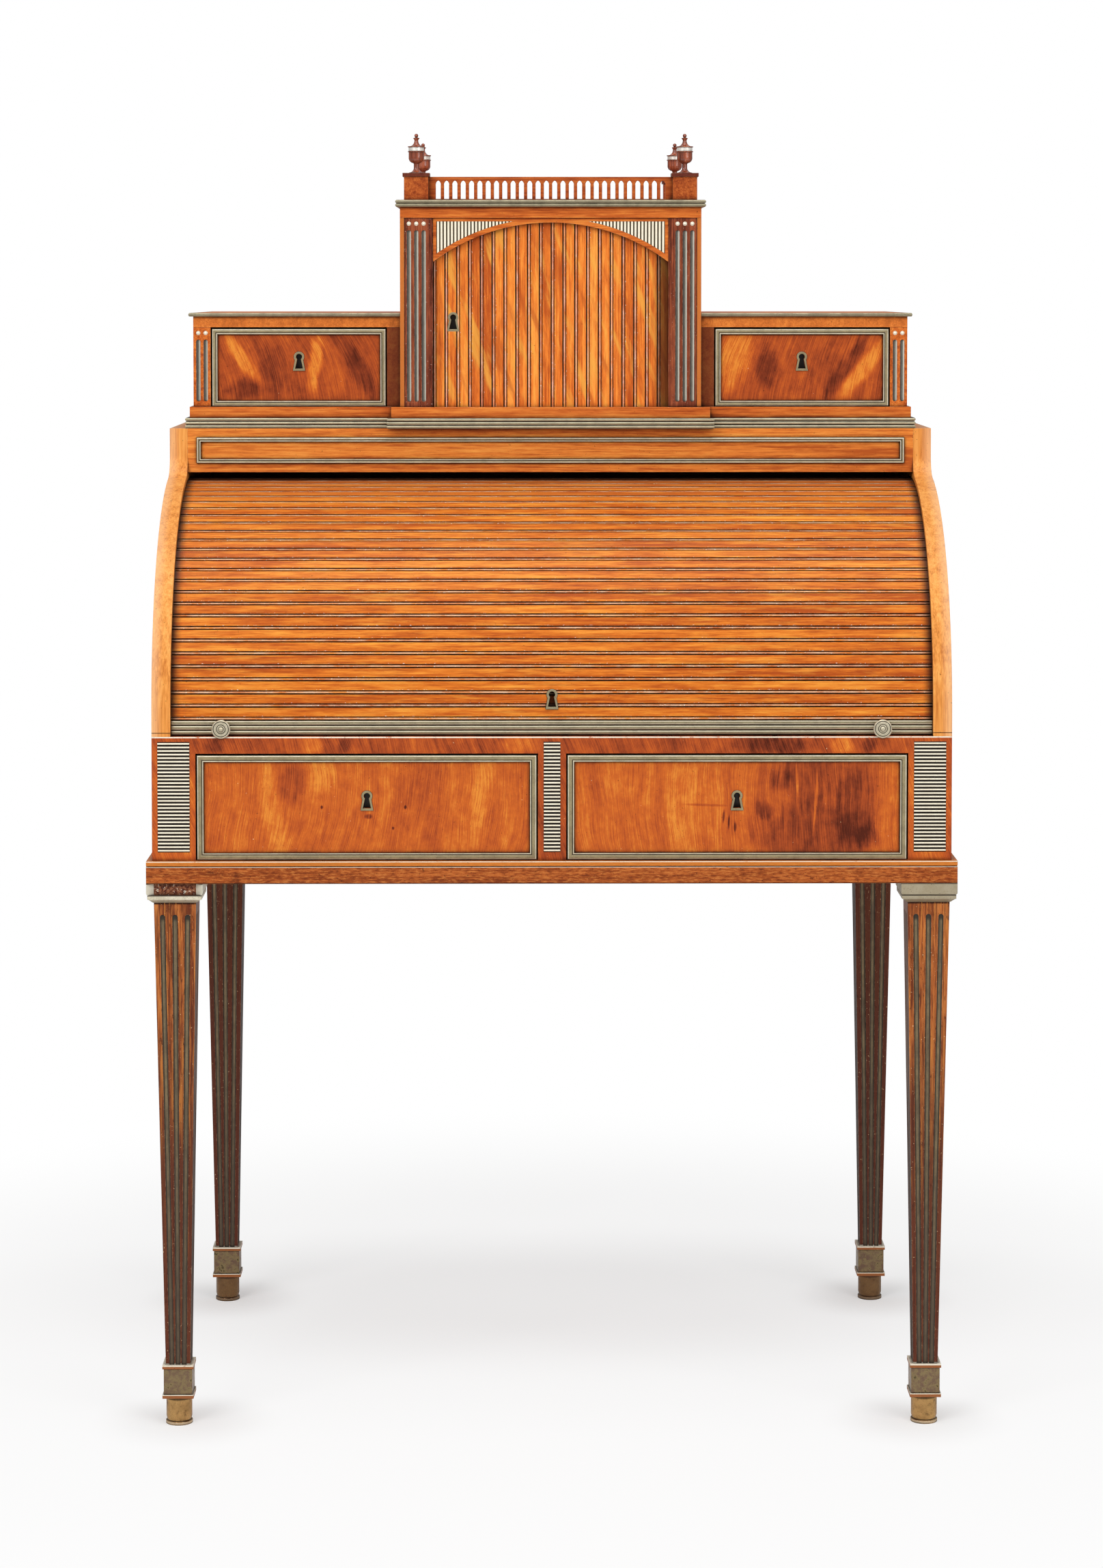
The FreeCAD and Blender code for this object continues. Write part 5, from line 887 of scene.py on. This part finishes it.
# Finishes and the nodes that have them
CHEEK_GRAIN = {"spread": 0.1, "figure": 0.6, "flaky": 0.6, "axis": (0, 0, 1)}
FINISHES = [
    (wood("slat_wood", SLAT_TONES, cylinder_slats, spread=0.35), ["tambour_slats"]),
    (wood("shutter_wood", SHUTTER_TONES, shutter_lines, spread=0.35, grime_and_shade=0.5), ["shutter_slats"]),
    (wood("frieze_wood", FRIEZE_TONES, spread=0.1, figure=1.4), ["frieze_board"]),
    (wood("cheek_wood", CHEEK_TONES, cheek_marks, **CHEEK_GRAIN), ["cheek_left", "cheek_right"]),
    (wood("top_wood", TOP_TONES, spread=0.2),
     ["plinth_board", "base_sides", "top_board", "writing_board", "tambour_rail"]),
    (wood("upper_wood", TOP_TONES, upper_boards, spread=0.2), ["upper_tops"]),
    (wood("wing_wood", TOP_TONES, wing_walls, spread=0.2), ["upper_sides"]),
    (wood("arch_wood", TOP_TONES, spread=0.0, rub_and_highlight=0.9), ["arch_board"]),
    (wood("gallery_wood", GALLERY_TONES, gallery_parts, spread=0.2), ["gallery"]),
    (wood("apron_wood", APRON_TONES, apron_marks, spread=0.15), ["apron_frame"]),
    (wood("leg_wood", LEG_TONES, leg_marks, spread=0.15, rub_and_highlight=0.6),
     ["leg_front_left", "leg_front_right", "leg_rear_left", "leg_rear_right"]),
    (wood("pilaster_wood", PILASTER_TONES, pilaster_field), ["pilasters"]),
    (wood("urn_wood", URN_TONES, polish=0.16, shine=0.6), ["finials"]),
    (wood("plain_wood", PLAIN_TONES, polish=0.6),
     ["back_panel", "upper_back", "drawer_guides", "nest_case", "nest_drawer_left", "nest_drawer_right",
      *[drawer + "_box" for drawer in DRAWERS]]),
    (brass("shutter_brass", touch=shutter_fittings, **PLAIN_BRASS), ["shutter_brass"]),
    (brass("reeded_brass", touch=reed_lines, **PLAIN_BRASS), ["plinth_moulding", "tambour_brass"]),
    (brass("cornice_brass", **CORNICE_BRASS), ["brass_cornices"]),
    (brass("capital_brass", touch=capital_marks, **CAPITAL_BRASS), ["leg_capitals"]),
    (brass("knob_brass", touch=knob_rings, **KNOB_BRASS), ["tambour_knobs"]),
    (brass("ribbed_brass", touch=rib_grooves, **RIB_BRASS), ["ribbed_panels"]),
    (brass("band_brass", **BAND_BRASS), ["finial_bands"]),
    (brass("flute_brass", touch=leg_shade, **FLUTE_BRASS), ["leg_flutes"]),
    (brass("pilaster_brass", touch=pilaster_shade, **PILASTER_BRASS), ["pilaster_flutes"]),
    (brass("foot_brass", touch=foot_shade, **FOOT_BRASS), ["sabots"]),
    (brass("iron", **LOCK_IRON), [*[drawer + "_bolt" for drawer in DRAWERS], "tambour_bolt", "shutter_bolt"]),
    (canvas("linen"), ["tambour_canvas", "shutter_canvas"]),
]
for material, names in FINISHES:
    for node in names:
        dress(node, material)


def dress_frame(node, width, front=None):
    """Give a brass frame its lines; a drawer's frame shares its node with the lock behind the front."""
    dress(node, brass(node + "_finish", touch=frame_lines(node, width, front), **FRAME_BRASS))


for drawer, width in DRAWERS.items():
    dress_frame(drawer + "_brass", width, drawer + "_front")
dress_frame("frieze_trim", FRIEZE_FRAME)


def flame(place, size, tone, turn=0, rag=1.0):
    """A flame of a veneer: place from the face's middle, half size, change of tone, turn in degrees."""
    return {"place": place, "size": size, "tone": tone, "turn": turn, "rag": rag}


VENEERS = {
    "base_drawer_left_front": {"base": 0.68, "lean": -0.10, "bow": 1.5, "seed": 3.0, "patches": [
        flame((-0.104, 0.0), (0.012, 0.060), 0.16, turn=-14),
        flame((-0.082, 0.026), (0.014, 0.028), -0.24, turn=20),
        flame((-0.051, 0.036), (0.018, 0.022), 0.16),
        flame((0.055, 0.0), (0.030, 0.070), -0.10, turn=10),
        flame((0.120, 0.01), (0.016, 0.070), 0.12, turn=14),
        flame((-0.051, 0.0), (0.0018, 0.0022), -0.6, rag=0.3),
        flame((0.042, 0.0), (0.0018, 0.0024), -0.6, rag=0.3),
        flame((0.029, -0.0225), (0.0016, 0.0020), -0.5, rag=0.3),
        flame((0.002, -0.010), (0.005, 0.003), -0.45, rag=0.5),
    ]},
    "base_drawer_right_front": {"base": 0.69, "lean": 0.08, "bow": -1.0, "seed": 8.0, "patches": [
        flame((-0.049, 0.0), (0.030, 0.070), 0.12, turn=6),
        flame((0.082, 0.030), (0.054, 0.036), -0.34, rag=0.9),
        flame((0.080, -0.026), (0.076, 0.036), -0.36, rag=0.9),
        flame((0.130, 0.0), (0.026, 0.062), -0.30, turn=4, rag=1.2),
        flame((0.048, 0.030), (0.014, 0.014), -0.20, rag=1.2),
        flame((0.029, -0.004), (0.010, 0.012), -0.34, turn=-30, rag=1.2),
        flame((0.142, -0.034), (0.014, 0.016), -0.18, rag=1.2),
        flame((0.0635, 0.028), (0.0016, 0.020), 0.42, turn=-3, rag=0.6),
        flame((0.084, 0.006), (0.0016, 0.038), 0.42, turn=3, rag=0.6),
        flame((0.162, 0.0), (0.010, 0.070), 0.06, turn=-4),
        flame((-0.014, -0.010), (0.0014, 0.008), -0.55, rag=0.8),
        flame((-0.008, -0.016), (0.0014, 0.009), -0.55, rag=0.8),
        flame((-0.001, -0.022), (0.0016, 0.006), -0.5, rag=0.8),
        flame((-0.032, 0.002), (0.024, 0.0016), -0.25, turn=2, rag=0.8),
    ]},
    "wing_drawer_left_front": {"base": 0.46, "lean": 0.30, "bow": 3.0, "seed": 12.0, "patches": [
        flame((-0.063, 0.012), (0.009, 0.042), 0.42, turn=-34),
        flame((-0.060, -0.024), (0.022, 0.013), -0.28, turn=-10),
        flame((-0.026, -0.006), (0.016, 0.034), -0.22, turn=-12),
        flame((0.017, 0.004), (0.008, 0.038), 0.42, turn=6),
        flame((0.040, -0.010), (0.014, 0.034), 0.10, turn=10),
        flame((0.066, -0.004), (0.012, 0.044), -0.28, turn=-30),
    ]},
    "wing_drawer_right_front": {"base": 0.50, "lean": -0.25, "bow": -2.0, "seed": 17.0, "patches": [
        flame((-0.078, 0.010), (0.022, 0.042), 0.34, turn=14),
        flame((-0.040, 0.0), (0.016, 0.028), -0.30, turn=-8),
        flame((0.026, 0.0), (0.026, 0.040), -0.10),
        flame((0.050, 0.0), (0.009, 0.048), -0.26, turn=34),
        flame((0.070, -0.002), (0.010, 0.046), 0.42, turn=38),
    ]},
    "face_frame": {"base": 0.46, "lean": 0.35, "bow": 0.0, "seed": 23.0, "line": WRITING_LINE, "patches": [
        flame((-0.402, -0.010), (0.030, 0.090), 0.26, rag=0.5),
        flame((0.402, -0.010), (0.030, 0.090), 0.26, rag=0.5),
        flame((-0.358, 0.060), (0.012, 0.010), -0.25),
        flame((-0.254, 0.060), (0.014, 0.012), 0.26, turn=20),
        flame((-0.219, 0.060), (0.008, 0.012), -0.25, turn=20),
        flame((-0.036, 0.060), (0.020, 0.012), 0.28),
        flame((0.239, 0.060), (0.052, 0.012), -0.26, rag=1.3),
        flame((0.310, 0.060), (0.014, 0.012), 0.30),
        flame((0.338, 0.060), (0.009, 0.010), -0.35),
    ]},
}
for node, figure in VENEERS.items():
    low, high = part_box(node)
    dress(node, veneer(node + "_veneer", (low + high) / 2, **figure))


# Stage, lamps and camera

def make_floor():
    """White floor with a soft shadow under the object and at its feet: real shading shows where less white
    glow is mixed in, and where that happens is painted by position.
    """
    bpy.ops.mesh.primitive_plane_add(size=FLOOR_SIZE)
    floor = bpy.context.object
    floor.name = "floor"
    tree = Tree("floor")
    tree.set(Base_Color=FLOOR_TONE, Roughness=0.9, Specular_IOR_Level=0.0)
    away = tree.vector("MULTIPLY", tree.vector("SUBTRACT", tree.coords, SHADOW_PLACE), SHADOW_SHAPE)
    # Less glow under the object: painted shadow over the real shading
    beside = tree.span(tree.vector("LENGTH", away), *SHADOW_FADE)
    beyond = tree.span(tree.vector("LENGTH", tree.coords), *FLOOR_FADE)
    share = (1 - FLOOR_LIFT) / 2
    lift = tree.math("ADD", tree.math("MULTIPLY_ADD", beside, share, FLOOR_LIFT), tree.part(beyond, share))
    foot = tree.vector("SUBTRACT", tree.vector("ABSOLUTE", tree.coords), FOOT_PLACE)
    clear = tree.span(tree.vector("LENGTH", foot), *FOOT_FADE)
    # Less glow at the feet: painted contact shadow over the real shading
    lift = tree.both(lift, tree.math("MULTIPLY_ADD", clear, 1 - FOOT_LIFT, FOOT_LIFT))
    seen = tree.add("LightPath").outputs["Is Camera Ray"]
    glow = tree.add("Emission", {"Color": WHITE, "Strength": 1.0})
    blend = tree.add("MixShader", {0: tree.both(lift, seen), 1: tree.shader.outputs[0], 2: glow.outputs[0]})
    feed(tree.tree, tree.tree.nodes["Material Output"].inputs["Surface"], blend.outputs[0])
    floor.data.materials.append(tree.material)
    floor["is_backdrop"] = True


def make_world():
    """White to the camera; reflections see a room that is dim at eye level and bright above."""
    world = bpy.data.worlds.new("studio")
    world.use_nodes = True
    bpy.context.scene.world = world
    tree = world.node_tree

    def between(value, first, last, rise=(0.0, 1.0)):
        ends = {"Value": value, "From Min": rise[0], "From Max": rise[1], "To Min": first, "To Max": last}
        return add_node(tree, "ShaderNodeMapRange", ends).outputs["Result"]

    path = add_node(tree, "ShaderNodeLightPath").outputs
    way = add_node(tree, "ShaderNodeTexCoord").outputs["Generated"]
    height = add_node(tree, "ShaderNodeSeparateXYZ", {0: way}).outputs["Z"]
    room = between(height, ROOM_DIM, ROOM_BRIGHT, ROOM_RISE)
    strength = between(path["Is Glossy Ray"], AMBIENT, room)
    background = tree.nodes["Background"].inputs
    feed(tree, background["Color"], WHITE)
    feed(tree, background["Strength"], between(path["Is Camera Ray"], strength, 1.0))


def make_lamp(name, place, size, power):
    """Square lamp that faces the object."""
    lamp = bpy.data.lights.new(name, "AREA")
    lamp.size = size
    lamp.energy = power
    holder = bpy.data.objects.new(name, lamp)
    holder.location = place
    holder.rotation_euler = (LAMP_TARGET - Vector(place)).to_track_quat("-Z", "Y").to_euler()
    bpy.context.scene.collection.objects.link(holder)


def make_camera():
    """Camera at the photograph's viewing angle."""
    lens = bpy.data.cameras.new("camera")
    lens.lens = CAMERA_LENS
    lens.shift_y = CAMERA_SHIFT
    camera = bpy.data.objects.new("camera", lens)
    camera.location = CAMERA_PLACE
    camera.rotation_euler = (math.radians(90 - CAMERA_PITCH), 0, math.radians(-CAMERA_YAW))
    bpy.context.scene.collection.objects.link(camera)
    bpy.context.scene.camera = camera


make_floor()
make_world()
for lamp in LAMPS:
    make_lamp(**lamp)
make_camera()
bpy.context.scene.view_settings.view_transform = "Standard"

low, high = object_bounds()
